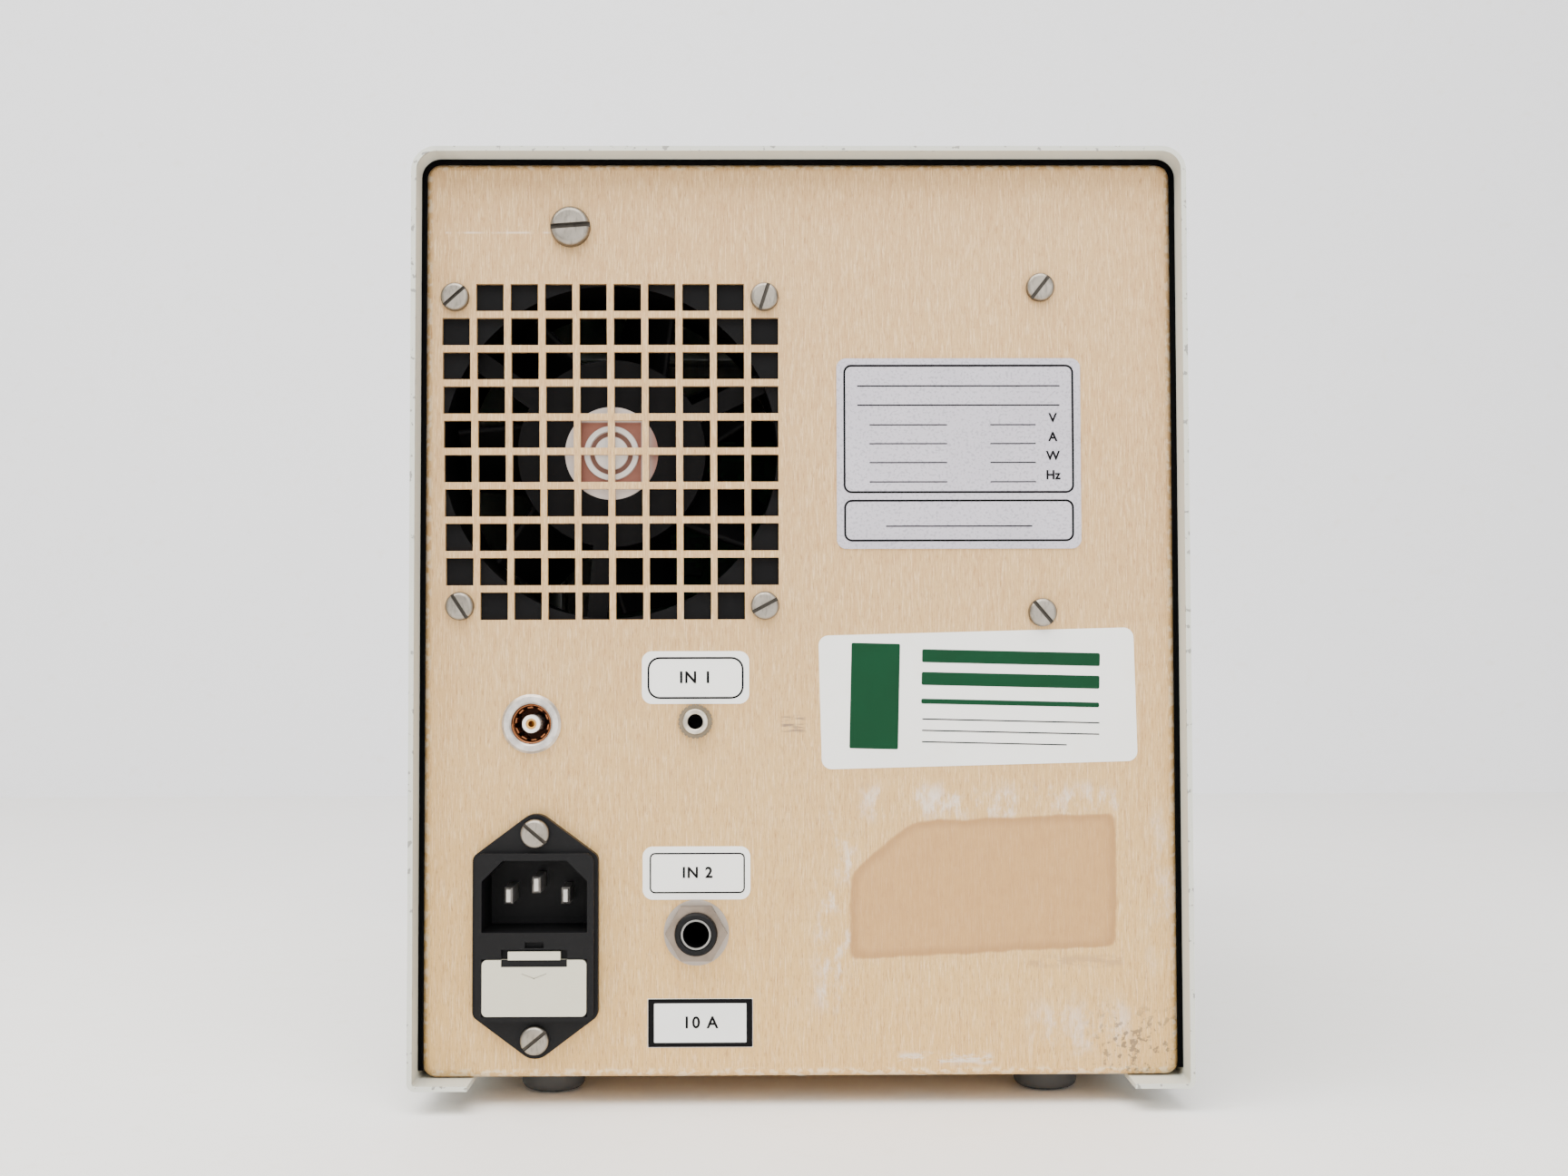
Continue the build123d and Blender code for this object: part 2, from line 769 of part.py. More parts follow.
# Fan frame: square flanges, a round tunnel and a motor base carried on struts at the rear
fan_front_y = fan_rear_y - fan_depth
base_rear_y = fan_rear_y - fan_base_setback
with BuildPart() as fan_frame:
    with BuildSketch(upright(fan_rear_y)):
        with Locations((fan_x, fan_z)):
            RectangleRounded(fan_size, fan_size, fan_corner)
            Circle(fan_bore / 2, mode=Mode.SUBTRACT)
        with Locations(*fan_corners):
            Circle(screw_shank / 2 + hole_clearance, mode=Mode.SUBTRACT)
    extrude(amount=fan_flange)
    with BuildSketch(upright(fan_front_y + fan_flange)):
        with Locations((fan_x, fan_z)):
            RectangleRounded(fan_size, fan_size, fan_corner)
            Circle(fan_bore / 2, mode=Mode.SUBTRACT)
        with Locations(*fan_corners):
            Circle(screw_shank / 2 + hole_clearance, mode=Mode.SUBTRACT)
    extrude(amount=fan_flange)
    with BuildSketch(upright(fan_rear_y)):
        with Locations((fan_x, fan_z)):
            Circle(fan_bore / 2 + fan_tube_wall)
            Circle(fan_bore / 2, mode=Mode.SUBTRACT)
    extrude(amount=fan_depth)
    with BuildSketch(upright(base_rear_y)):
        with Locations((fan_x, fan_z)):
            Circle(fan_base_diameter / 2)
        middle = (fan_bore + fan_base_diameter) / 4
        strut_length = (fan_bore - fan_base_diameter) / 2 + 2 * fan_strut_overlap
        for angle in fan_strut_angles:
            across = fan_x + middle * cos(radians(angle))
            up = fan_z + middle * sin(radians(angle))
            with Locations(Location((across, up, 0), (0, 0, angle))):
                Rectangle(strut_length, fan_strut_width)
    extrude(amount=fan_strut_depth)
    with BuildSketch(upright(base_rear_y)):
        with Locations((fan_x, fan_z)):
            Circle(fan_base_diameter / 2)
    extrude(amount=fan_base_depth)
    with BuildSketch(upright(base_rear_y - fan_base_depth)):
        with Locations((fan_x, fan_z)):
            Circle(bearing_diameter / 2 + bearing_tube_wall)
    extrude(amount=bearing_tube_length)
    with BuildSketch(upright(base_rear_y)):
        with Locations((fan_x, fan_z)):
            Circle(fan_cap_diameter / 2 + running_fit)
    extrude(amount=fan_cap_depth, mode=Mode.SUBTRACT)
    with BuildSketch(upright(base_rear_y - fan_cap_depth)):
        with Locations((fan_x, fan_z)):
            Circle(bearing_diameter / 2 + thread_fit)
    extrude(amount=fan_base_depth + bearing_tube_length, mode=Mode.SUBTRACT)
save(fan_frame.part, "fan_frame")

# Fan bearings, pressed into the motor base's tube
bearing_rear_y = base_rear_y - fan_cap_depth - bearing_setback
tube_end_y = base_rear_y - fan_base_depth - bearing_tube_length
with BuildPart() as fan_bearings:
    for y in (bearing_rear_y, tube_end_y + bearing_width):
        with BuildSketch(upright(y)):
            with Locations((fan_x, fan_z)):
                Circle(bearing_diameter / 2)
                Circle(fan_shaft_diameter / 2 + running_fit, mode=Mode.SUBTRACT)
        extrude(amount=bearing_width)
save(fan_bearings.part, "fan_bearings")

# End cap over the rear bearing, with raised rings
with BuildPart() as fan_end_cap:
    with BuildSketch(upright(base_rear_y)):
        with Locations((fan_x, fan_z)):
            Circle(fan_cap_diameter / 2)
    extrude(amount=fan_cap_depth - bearing_setback)
    with BuildSketch(upright(base_rear_y + fan_ring_height)):
        with Locations((fan_x, fan_z)):
            Circle(fan_ring_diameter / 2)
            Circle(fan_ring_diameter / 2 - fan_ring_width, mode=Mode.SUBTRACT)
    extrude(amount=fan_ring_height)
    with BuildSketch(upright(base_rear_y + fan_button_height)):
        with Locations((fan_x, fan_z)):
            Circle(fan_button_diameter / 2)
    extrude(amount=fan_button_height)
save(fan_end_cap.part, "fan_end_cap")

# Stator: poles around the bearing tube
with BuildPart() as fan_stator:
    with BuildSketch(upright(base_rear_y - fan_base_depth)):
        with Locations((fan_x, fan_z)):
            Circle(stator_diameter / 2)
            Circle(bearing_diameter / 2 + bearing_tube_wall + thread_fit, mode=Mode.SUBTRACT)
        for i in range(stator_slots):
            angle = radians(i * 360 / stator_slots)
            reach = (stator_diameter - stator_slot_diameter) / 2 + running_fit
            with Locations((fan_x + reach * cos(angle), fan_z + reach * sin(angle))):
                Circle(stator_slot_diameter / 2, mode=Mode.SUBTRACT)
    extrude(amount=stator_depth)
save(fan_stator.part, "fan_stator")

# Rotor: a cup over the stator with pitched blades
hub_rear_y = base_rear_y - fan_base_depth - hub_running_gap
hub_front_y = hub_rear_y - fan_hub_depth
blade_y = (hub_rear_y + hub_front_y) / 2


def fan_blade():
    """One pitched blade on an axis along Y through the origin, reaching along +X."""
    root = (fan_hub_diameter / 2 - fan_hub_wall / 2, fan_blade_pitch)
    tip = (fan_blade_diameter / 2, fan_blade_pitch - fan_blade_washout)
    with BuildPart() as blade:
        for radius, twist in (root, tip):
            with BuildSketch(Plane(origin=(radius, 0, 0), x_dir=(0, 1, 0), z_dir=(1, 0, 0))):
                SlotOverall(fan_blade_chord, fan_blade_thickness, rotation=twist)
        loft()
    return blade.part


blade = fan_blade()
with BuildPart() as fan_rotor:
    with BuildSketch(upright(hub_rear_y)):
        with Locations((fan_x, fan_z)):
            Circle(fan_hub_diameter / 2)
    extrude(amount=fan_hub_depth)
    for i in range(fan_blade_count):
        with Locations(along_y(fan_x, blade_y, fan_z, i * 360 / fan_blade_count)):
            add(blade)
    with BuildSketch(upright(hub_rear_y)):
        with Locations((fan_x, fan_z)):
            Circle(fan_hub_diameter / 2 - fan_hub_wall)
    extrude(amount=fan_hub_depth - fan_hub_wall, mode=Mode.SUBTRACT)
    with BuildSketch(upright(hub_front_y + fan_hub_wall)):
        with Locations((fan_x, fan_z)):
            Circle(fan_shaft_diameter / 2 + thread_fit)
    extrude(amount=fan_hub_wall, mode=Mode.SUBTRACT)
save(fan_rotor.part, "fan_rotor")

with BuildPart() as fan_shaft:
    with BuildSketch(upright(bearing_rear_y - hole_clearance)):
        with Locations((fan_x, fan_z)):
            Circle(fan_shaft_diameter / 2)
    extrude(amount=bearing_rear_y - hole_clearance - hub_front_y)
save(fan_shaft.part, "fan_shaft")

# Fan screws and their nuts, and the nuts of the inlet screws
fan_screw_length = panel_sheet + fan_flange + nut_height + nut_overrun
fan_screw = slotted_screw(screw_head, screw_head_height, screw_shank, fan_screw_length)
with BuildPart() as fan_screws:
    for (x, z), turn in zip(fan_corners, fan_slots):
        with Locations(along_y(x, rear_face_y, z, turn)):
            add(fan_screw)
save(fan_screws.part, "fan_screws")

# Nuts inside the case, on the screws of the feet, the fan and the inlet
with BuildPart() as inner_nuts:
    for x, y in foot_places:
        with Locations((x, y, base_top_z)):
            add(screw_nut)
    for x, z in fan_corners:
        with Locations(Location((x, fan_rear_y - fan_flange, z), (90, 0, 0))):
            add(screw_nut)
    for x, z in inlet_screws_at:
        with Locations(Location((x, rear_inner_y, z), (90, 0, 0))):
            add(screw_nut)
save(inner_nuts.part, "inner_nuts")

# Heat sink with its end against the rear panel
with BuildPart() as heatsink:
    with BuildSketch(upright(rear_inner_y)):
        with Locations((sink_screw_x, sink_z)):
            Rectangle(sink_base, sink_height)
        pitch = (sink_height - sink_fin_thickness) / (sink_fin_count - 1)
        fin_reach = sink_base / 2 + sink_fin_height
        for i in range(sink_fin_count):
            z = sink_low_z + sink_fin_thickness / 2 + i * pitch
            with Locations((sink_screw_x, z)):
                Rectangle(fin_reach, sink_fin_thickness, align=(Align.MIN, Align.CENTER))
        for z in sink_screw_z:
            with Locations((sink_screw_x, z)):
                Circle(screw_shank / 2 + thread_fit, mode=Mode.SUBTRACT)
    extrude(amount=sink_length)
    with BuildSketch(Plane.YZ.offset(sink_outer_x)):
        for y, z in transistor_places:
            with Locations((y, z + transistor_hole_rise)):
                Circle(small_screw_shank / 2 + thread_fit)
    extrude(amount=sink_base, mode=Mode.SUBTRACT)
save(heatsink.part, "heatsink")

sink_screw = slotted_screw(screw_head, screw_head_height, screw_shank, sink_screw_length)
with BuildPart() as heatsink_screws:
    for z, turn in zip(sink_screw_z, sink_screw_slots):
        with Locations(along_y(sink_screw_x, rear_face_y, z, turn)):
            add(sink_screw)
save(heatsink_screws.part, "heatsink_screws")

with BuildPart() as power_transistors:
    for y, z in transistor_places:
        with Locations((sink_outer_x - transistor_size[0] / 2, y, z)):
            Box(*transistor_size)
        for lead in (-lead_pitch, 0, lead_pitch):
            with Locations((sink_outer_x - transistor_size[0] / 2, y + lead, z - transistor_size[2] / 2)):
                Box(*lead_size)
    with BuildSketch(Plane.YZ.offset(sink_outer_x - transistor_size[0])):
        for y, z in transistor_places:
            with Locations((y, z + transistor_hole_rise)):
                Circle(small_screw_shank / 2 + hole_clearance)
    extrude(amount=transistor_size[0], mode=Mode.SUBTRACT)
save(power_transistors.part, "power_transistors")

# Mains transformer: laminated core, coil, two brackets and four through bolts
core_z = core_low_z + core_height / 2
window_width_core = core_width / 2 - 1.5 * core_leg
bolt_places = [
    (transformer_x + i * (core_width - core_leg) / 2, core_z + j * (core_height - core_leg) / 2)
    for i in (1, -1)
    for j in (1, -1)
]
with BuildPart() as transformer_core:
    with BuildSketch(upright(core_rear_y)):
        with Locations((transformer_x, core_z)):
            Rectangle(core_width, core_height)
        for side in (1, -1):
            with Locations((transformer_x + side * core_width / 4, core_z)):
                Rectangle(window_width_core, core_height - 2 * core_leg, mode=Mode.SUBTRACT)
        with Locations(*bolt_places):
            Circle(core_bolt / 2 + hole_clearance, mode=Mode.SUBTRACT)
    extrude(amount=core_depth)
save(transformer_core.part, "transformer_core")

coil_width = core_width / 2 + window_width_core - 2 * coil_gap
leg_width = core_width / 2 - window_width_core
coil_height = core_height - 2 * core_leg - 2 * coil_gap
with BuildPart() as transformer_coil:
    with Locations((transformer_x, transformer_y, core_z)):
        Box(coil_width, core_depth + 2 * coil_overhang, coil_height)
    fillet(transformer_coil.edges().filter_by(Axis.Z), coil_rounding)
    with Locations((transformer_x, transformer_y, core_z)):
        Box(leg_width + 2 * coil_gap, core_depth + 2 * coil_gap, coil_height, mode=Mode.SUBTRACT)
save(transformer_coil.part, "transformer_coil")

with BuildPart() as transformer_brackets:
    for face_y, side in ((core_rear_y, 1), (core_front_y, -1)):
        with Locations((transformer_x, face_y + side * bracket_sheet / 2, base_top_z)):
            Box(core_width, bracket_sheet, core_leg, align=on_its_end)
        with Locations((transformer_x, face_y + side * bracket_foot / 2, base_top_z)):
            Box(core_width, bracket_foot, bracket_sheet, align=on_its_end)
    with BuildSketch(upright(core_rear_y + bracket_sheet)):
        with Locations(*[place for place in bolt_places if place[1] < core_z]):
            Circle(core_bolt / 2 + hole_clearance)
    extrude(amount=core_depth + 2 * bracket_sheet, mode=Mode.SUBTRACT)
    with BuildSketch(Plane.XY.offset(base_top_z)):
        with Locations(*bracket_rivets):
            Circle(rivet_shank / 2 + thread_fit)
    extrude(amount=bracket_sheet, mode=Mode.SUBTRACT)
save(transformer_brackets.part, "transformer_brackets")

with BuildPart() as transformer_bolts:
    for x, z in bolt_places:
        grip = bracket_sheet if z < core_z else 0.0
        head_y = core_rear_y + grip + core_bolt_head_height
        with BuildSketch(upright(head_y)):
            with Locations((x, z)):
                Circle(core_bolt / 2)
        extrude(amount=core_depth + 2 * (grip + core_bolt_head_height))
        for y in (head_y, core_front_y - grip):
            with BuildSketch(upright(y)):
                with Locations((x, z)):
                    RegularPolygon(core_bolt_head / 2, 6, major_radius=False)
            extrude(amount=core_bolt_head_height)
save(transformer_bolts.part, "transformer_bolts")

# Power board on spacers, with its large parts
with BuildPart() as power_board:
    with BuildSketch(Plane.XY.offset(board_low_z)):
        with Locations((power_board_x, power_board_y)):
            RectangleRounded(power_board_width, power_board_length, board_corner)
        with Locations(*spacer_places):
            Circle(small_screw_shank / 2 + hole_clearance, mode=Mode.SUBTRACT)
    extrude(amount=board_thickness)
save(power_board.part, "power_board")


def spacer():
    """Hexagonal spacer along Z, standing on Z = 0, with a clinched stub below and a tapped bore above."""
    with BuildPart() as post:
        with BuildSketch():
            RegularPolygon(spacer_width / 2, 6, major_radius=False)
        extrude(amount=spacer_length)
        with BuildSketch():
            Circle(spacer_stub / 2)
        extrude(amount=-base_sheet)
        with BuildSketch(Plane.XY.offset(spacer_length)):
            Circle(small_screw_shank / 2 + thread_fit)
        extrude(amount=-(small_screw_length - board_thickness + 1), mode=Mode.SUBTRACT)
    return post.part


post = spacer()
with BuildPart() as board_spacers:
    for x, y in spacer_places:
        with Locations((x, y, base_top_z)):
            add(post)
    for x, z in control_places:
        with Locations(z_to_rear(x, front_inner_y, z)):
            add(post)
save(board_spacers.part, "board_spacers")

small_screw = slotted_screw(small_screw_head, small_screw_head_height, small_screw_shank, small_screw_length)
with BuildPart() as small_screws:
    for x, y in spacer_places:
        with Locations(Location((x, y, board_top_z), (90, 0, 0))):
            add(small_screw)
    for x, z in control_places:
        with Locations(along_y(x, control_y + board_thickness, z)):
            add(small_screw)
    for y, z in transistor_places:
        seat = (sink_outer_x - transistor_size[0], y, z + transistor_hole_rise)
        with Locations(Location(seat, (0, 0, 90))):
            add(small_screw)
save(small_screws.part, "small_screws")

with BuildPart() as filter_capacitors:
    for step in (0, 1):
        with BuildSketch(Plane.XY.offset(board_top_z)):
            with Locations((power_board_x, capacitor_y + step * (capacitor_diameter + capacitor_gap))):
                Circle(capacitor_diameter / 2)
        extrude(amount=capacitor_height)
    fillet(filter_capacitors.edges().group_by(Axis.Z)[-1], capacitor_rounding)
save(filter_capacitors.part, "filter_capacitors")

with BuildPart() as bridge_rectifier:
    with BuildSketch(Plane.XY.offset(board_top_z)):
        with Locations((power_board_x, rectifier_y)):
            Rectangle(rectifier_size[0], rectifier_size[1])
    extrude(amount=rectifier_size[2])
save(bridge_rectifier.part, "bridge_rectifier")

ferrite_z = board_top_z + ferrite_height / 2
ferrite_window_x = ferrite_width / 2 - ferrite_leg - ferrite_window / 2
with BuildPart() as output_transformer_core:
    with BuildSketch(upright(ferrite_y + ferrite_depth / 2)):
        with Locations((power_board_x, ferrite_z)):
            Rectangle(ferrite_width, ferrite_height)
        for side in (1, -1):
            with Locations((power_board_x + side * ferrite_window_x, ferrite_z)):
                Rectangle(ferrite_window, ferrite_height - 2 * ferrite_leg, mode=Mode.SUBTRACT)
    extrude(amount=ferrite_depth)
save(output_transformer_core.part, "output_transformer_core")

middle_leg = ferrite_width - 2 * (ferrite_leg + ferrite_window)
bobbin_width = ferrite_width - 2 * (ferrite_leg + coil_gap)
bobbin_height = ferrite_height - 2 * (ferrite_leg + coil_gap)
with BuildPart() as output_transformer_coil:
    with Locations((power_board_x, ferrite_y, ferrite_z)):
        Box(bobbin_width, ferrite_depth + 2 * bobbin_overhang, bobbin_height)
    fillet(output_transformer_coil.edges().filter_by(Axis.Z), bobbin_rounding)
    with Locations((power_board_x, ferrite_y, ferrite_z)):
        Box(middle_leg + 2 * coil_gap, ferrite_depth + 2 * coil_gap, ferrite_height, mode=Mode.SUBTRACT)
save(output_transformer_coil.part, "output_transformer_coil")

with BuildPart() as tuning_coil:
    with BuildSketch(Plane.XY.offset(board_top_z)):
        with Locations((power_board_x, toroid_y)):
            Circle(toroid_outer / 2)
            Circle(toroid_inner / 2, mode=Mode.SUBTRACT)
    extrude(amount=toroid_height)
    fillet(tuning_coil.edges(), toroid_rounding)
save(tuning_coil.part, "tuning_coil")

# Control board with its chips on the rear side, display and the keypad on the front
with BuildPart() as control_board:
    with BuildSketch(upright(control_y + board_thickness)):
        with Locations((0, control_board_z)):
            RectangleRounded(control_board_width, control_board_height, board_corner)
        with Locations(*control_places):
            Circle(small_screw_shank / 2 + hole_clearance, mode=Mode.SUBTRACT)
    extrude(amount=board_thickness)
    for x, z, width in chip_places:
        with BuildSketch(upright(control_y + board_thickness + chip_height)):
            with Locations((x, control_board_z + z)):
                Rectangle(width, chip_width)
        extrude(amount=chip_height)
save(control_board.part, "control_board")

with BuildPart() as display_module:
    with BuildSketch(upright(control_y)):
        with Locations((0, window_z - display_drop)):
            Rectangle(window_width + 2 * display_border, window_height)
    extrude(amount=display_depth)
    with BuildSketch(upright(control_y - display_depth)):
        with Locations((0, window_z)):
            Rectangle(*glass_size)
    extrude(amount=spacer_length - display_depth)
save(display_module.part, "display_module")

with BuildPart() as display_window:
    with BuildSketch(upright(front_inner_y)):
        with Locations((0, window_z)):
            Rectangle(window_width, window_height)
    extrude(amount=panel_sheet + overlay_thickness)
save(display_window.part, "display_window")

with BuildPart() as keypad_overlay:
    with BuildSketch(upright(front_face_y)):
        with Locations((0, (overlay_low + overlay_high) / 2)):
            RectangleRounded(overlay_width, overlay_high - overlay_low, overlay_radius)
        with Locations((0, window_z)):
            Rectangle(window_width + 2 * thread_fit, window_height + 2 * thread_fit, mode=Mode.SUBTRACT)
    extrude(amount=overlay_thickness)
    with BuildSketch(upright(front_face_y - overlay_thickness)):
        with Locations((0, keys_z)):
            with GridLocations(key_pitch_x, key_pitch_z, key_columns, key_rows):
                RectangleRounded(key_width, key_height, key_corner)
    extrude(amount=key_rise)
save(keypad_overlay.part, "keypad_overlay")

# Amplitude control: potentiometer, its shaft, nut and knob
with BuildPart() as potentiometer:
    with BuildSketch(upright(front_inner_y + pot_depth)):
        with Locations((knob_x, knob_z)):
            Circle(pot_diameter / 2)
    extrude(amount=pot_depth)
    with BuildSketch(upright(front_inner_y)):
        with Locations((knob_x, knob_z)):
            Circle(pot_neck / 2)
    extrude(amount=panel_sheet + pot_nut_height + pot_neck_overrun)
    with BuildSketch(upright(front_inner_y + pot_depth - pot_end_wall)):
        with Locations((knob_x, knob_z)):
            Circle(pot_shaft_diameter / 2 + running_fit)
    extrude(amount=pot_depth + panel_sheet + pot_nut_height, mode=Mode.SUBTRACT)
save(potentiometer.part, "potentiometer")

shaft_rear_y = front_inner_y + pot_depth - pot_end_wall - hole_clearance
with BuildPart() as pot_shaft:
    with BuildSketch(upright(shaft_rear_y)):
        with Locations((knob_x, knob_z)):
            Circle(pot_shaft_diameter / 2)
    extrude(amount=shaft_rear_y - knob_front_y - knob_end_wall)
save(pot_shaft.part, "pot_shaft")

with BuildPart() as pot_nut:
    with Locations(Location((knob_x, front_face_y, knob_z), (90, 0, 0))):
        add(hexagon_ring(pot_nut_width, pot_neck + 2 * thread_fit, pot_nut_height))
save(pot_nut.part, "pot_nut")

knob_back_y = front_face_y - knob_gap
knob_length = knob_back_y - knob_front_y
with BuildPart() as amplitude_knob:
    with BuildSketch(upright(knob_back_y)):
        with Locations((knob_x, knob_z)):
            Circle(knob_diameter / 2)
        for i in range(knob_grips):
            angle = radians(i * 360 / knob_grips)
            reach = knob_diameter / 2
            with Locations((knob_x + reach * cos(angle), knob_z + reach * sin(angle))):
                Circle(knob_grip / 2, mode=Mode.SUBTRACT)
    extrude(amount=knob_length)
    with BuildSketch(upright(knob_back_y)):
        with Locations((knob_x, knob_z)):
            Circle(knob_skirt_bore / 2)
    extrude(amount=knob_skirt_depth, mode=Mode.SUBTRACT)
    with BuildSketch(upright(knob_back_y)):
        with Locations((knob_x, knob_z)):
            Circle(pot_shaft_diameter / 2 + thread_fit)
    extrude(amount=knob_length - knob_end_wall, mode=Mode.SUBTRACT)
    with BuildSketch(upright(knob_front_y + knob_line_depth)):
        with Locations((knob_x, knob_z + knob_line_rise)):
            Rectangle(knob_line_width, knob_line_length)
    extrude(amount=knob_line_depth, mode=Mode.SUBTRACT)
save(amplitude_knob.part, "amplitude_knob")

# Power switch: body with its bezel, and a rocker that rests tilted at off
switch_pivot_y = front_face_y - rocker_pivot_lead
cavity_width = rocker_width + 2 * rocker_gap
cavity_height = 2 * (rocker_half + rocker_end_gap)
with BuildPart() as switch_body:
    with BuildSketch(upright(front_face_y)):
        with Locations((switch_x, switch_z)):
            RectangleRounded(switch_width, switch_height, switch_corner)
    extrude(amount=switch_bezel)
    with BuildSketch(upright(front_inner_y + switch_depth)):
        with Locations((switch_x, switch_z)):
            Rectangle(switch_neck_width, switch_neck_height)
    extrude(amount=switch_depth + panel_sheet)
    with BuildSketch(upright(switch_pivot_y + switch_cavity_depth)):
        with Locations((switch_x, switch_z)):
            Rectangle(cavity_width, cavity_height)
    extrude(amount=2 * switch_cavity_depth, mode=Mode.SUBTRACT)
    pin_bore_length = rocker_width + 2 * (rocker_pin_reach + hole_clearance)
    with Locations((switch_x, switch_pivot_y, switch_z)):
        Cylinder(rocker_pin / 2 + running_fit, pin_bore_length, rotation=(0, 90, 0), mode=Mode.SUBTRACT)
save(switch_body.part, "switch_body")

rocker_plane = Plane(
    origin=(switch_x - rocker_width / 2, switch_pivot_y, switch_z),
    x_dir=(0, -cos(radians(rocker_tilt)), -sin(radians(rocker_tilt))),
    z_dir=(-1, 0, 0),
)
with BuildPart() as power_rocker:
    with BuildSketch(rocker_plane):
        with BuildLine():
            Polyline(
                (rocker_crown, -rocker_half),
                (-rocker_pivot_lead, -rocker_half),
                (-rocker_heel, -rocker_heel_half),
                (-rocker_heel, rocker_heel_half),
                (-rocker_pivot_lead, rocker_half),
                (rocker_crown, rocker_half),
            )
            ThreePointArc(
                (rocker_crown, rocker_half),
                (rocker_crown - rocker_dish, 0),
                (rocker_crown, -rocker_half),
            )
        make_face()
    extrude(amount=-rocker_width)
    with Locations((switch_x, switch_pivot_y, switch_z)):
        Cylinder(rocker_pin / 2, rocker_width + 2 * rocker_pin_reach, rotation=(0, 90, 0))
save(power_rocker.part, "power_rocker")

# Mains inlet housing: lug plate, raised body, socket and the fuse drawer's bay
bay_width = drawer_width + 2 * drawer_gap
bay_height = drawer_height + 2 * drawer_gap
bay_top_z = drawer_z + bay_height / 2
drawer_top_z = drawer_z + drawer_height / 2
with BuildPart() as inlet_housing:
    with BuildSketch(upright(inlet_lug_y)):
        with Locations(*inlet_screws_at):
            Circle(inlet_lug_radius)
        with Locations((inlet_x, inlet_z)):
            RectangleRounded(inlet_width, inlet_side, inlet_corner)
        make_hull()
    extrude(amount=inlet_lug_thickness)
    with BuildSketch(upright(inlet_face_y)):
        with Locations((inlet_x, inlet_z)):
            RectangleRounded(inlet_body_width, inlet_body_height, inlet_corner)
    extrude(amount=inlet_stand_out)
    with BuildSketch(upright(rear_face_y)):
        with Locations((inlet_x, inlet_z)):
            Rectangle(inlet_neck_width, inlet_neck_height)
    extrude(amount=inlet_body_depth)
    with BuildSketch(upright(inlet_lug_y)):
        with Locations(*inlet_screws_at):
            Circle(screw_shank / 2 + hole_clearance)
    extrude(amount=inlet_lug_thickness, mode=Mode.SUBTRACT)
    with BuildSketch(upright(inlet_face_y)):
        with Locations((inlet_x, socket_z)):
            mouth = Rectangle(socket_width, socket_height)
        chamfer(mouth.vertices().group_by(Axis.Y)[-1], socket_chamfer)
    extrude(amount=socket_depth, mode=Mode.SUBTRACT)
    with BuildSketch(upright(inlet_face_y)):
        with Locations((inlet_x, drawer_z)):
            Rectangle(bay_width, bay_height)
        with Locations((inlet_x, bay_top_z)):
            Rectangle(latch_notch_width, latch_notch_height, align=(Align.CENTER, Align.MIN))
        with Locations((inlet_x, bay_top_z + latch_notch_height + key_slot_rise)):
            Rectangle(key_slot_width, key_slot_height)
    extrude(amount=drawer_face + drawer_gap, mode=Mode.SUBTRACT)
    with BuildSketch(upright(inlet_face_y)):
        with Locations((inlet_x, drawer_z)):
            Rectangle(bay_width - 2 * bay_rim, bay_height - 2 * bay_rim)
    extrude(amount=drawer_depth + bay_rim, mode=Mode.SUBTRACT)
    with BuildSketch(upright(inlet_face_y - socket_depth)):
        for x, z, lead in pin_places:
            with Locations((x, z)):
                Rectangle(pin_width + 2 * thread_fit, pin_height + 2 * thread_fit)
    extrude(amount=inlet_body_depth, mode=Mode.SUBTRACT)
save(inlet_housing.part, "inlet_housing")

pin_end_y = rear_face_y - inlet_body_depth - pin_tail
with BuildPart() as inlet_pins:
    for x, z, lead in pin_places:
        pin_tip_y = inlet_face_y - pin_recess + lead
        with BuildSketch(upright(pin_tip_y)):
            with Locations((x, z)):
                Rectangle(pin_width, pin_height)
        extrude(amount=pin_tip_y - pin_end_y)
    for lead in (0.0, earth_pin_lead):
        pin_tip_y = inlet_face_y - pin_recess + lead
        tip_edges = inlet_pins.edges().filter_by_position(Axis.Y, pin_tip_y - 0.01, pin_tip_y + 0.01)
        chamfer(tip_edges, pin_bevel)
save(inlet_pins.part, "inlet_pins")

tray_width = bay_width - 2 * (bay_rim + drawer_gap)
tray_height = bay_height - 2 * (bay_rim + drawer_gap)
drawer_front_y = inlet_face_y + drawer_stand_out
with BuildPart() as fuse_drawer:
    with BuildSketch(upright(drawer_front_y)):
        with Locations((inlet_x, drawer_z)):
            RectangleRounded(drawer_width, drawer_height, drawer_corner)
        with Locations((inlet_x, drawer_top_z)):
            Rectangle(latch_width, 2 * latch_height)
    extrude(amount=drawer_face + drawer_stand_out)
    with BuildSketch(upright(drawer_front_y)):
        with Locations((inlet_x, drawer_top_z)):
            Rectangle(latch_notch_width, latch_pocket_height, align=(Align.CENTER, Align.MAX))
    extrude(amount=latch_pocket_depth, mode=Mode.SUBTRACT)
    with BuildSketch(upright(inlet_face_y - drawer_face)):
        with Locations((inlet_x, drawer_z)):
            Rectangle(tray_width, tray_height)
    extrude(amount=drawer_depth - drawer_face)
    with BuildSketch(upright(inlet_face_y - drawer_face - drawer_wall)):
        for side in (1, -1):
            with Locations((inlet_x + side * fuse_spacing / 2, drawer_z)):
                Circle(fuse_diameter / 2 + hole_clearance)
                Rectangle(
                    fuse_diameter + 2 * hole_clearance,
                    tray_height,
                    align=(Align.CENTER, Align.MIN),
                )
    extrude(amount=fuse_length + 2 * hole_clearance, mode=Mode.SUBTRACT)
save(fuse_drawer.part, "fuse_drawer")

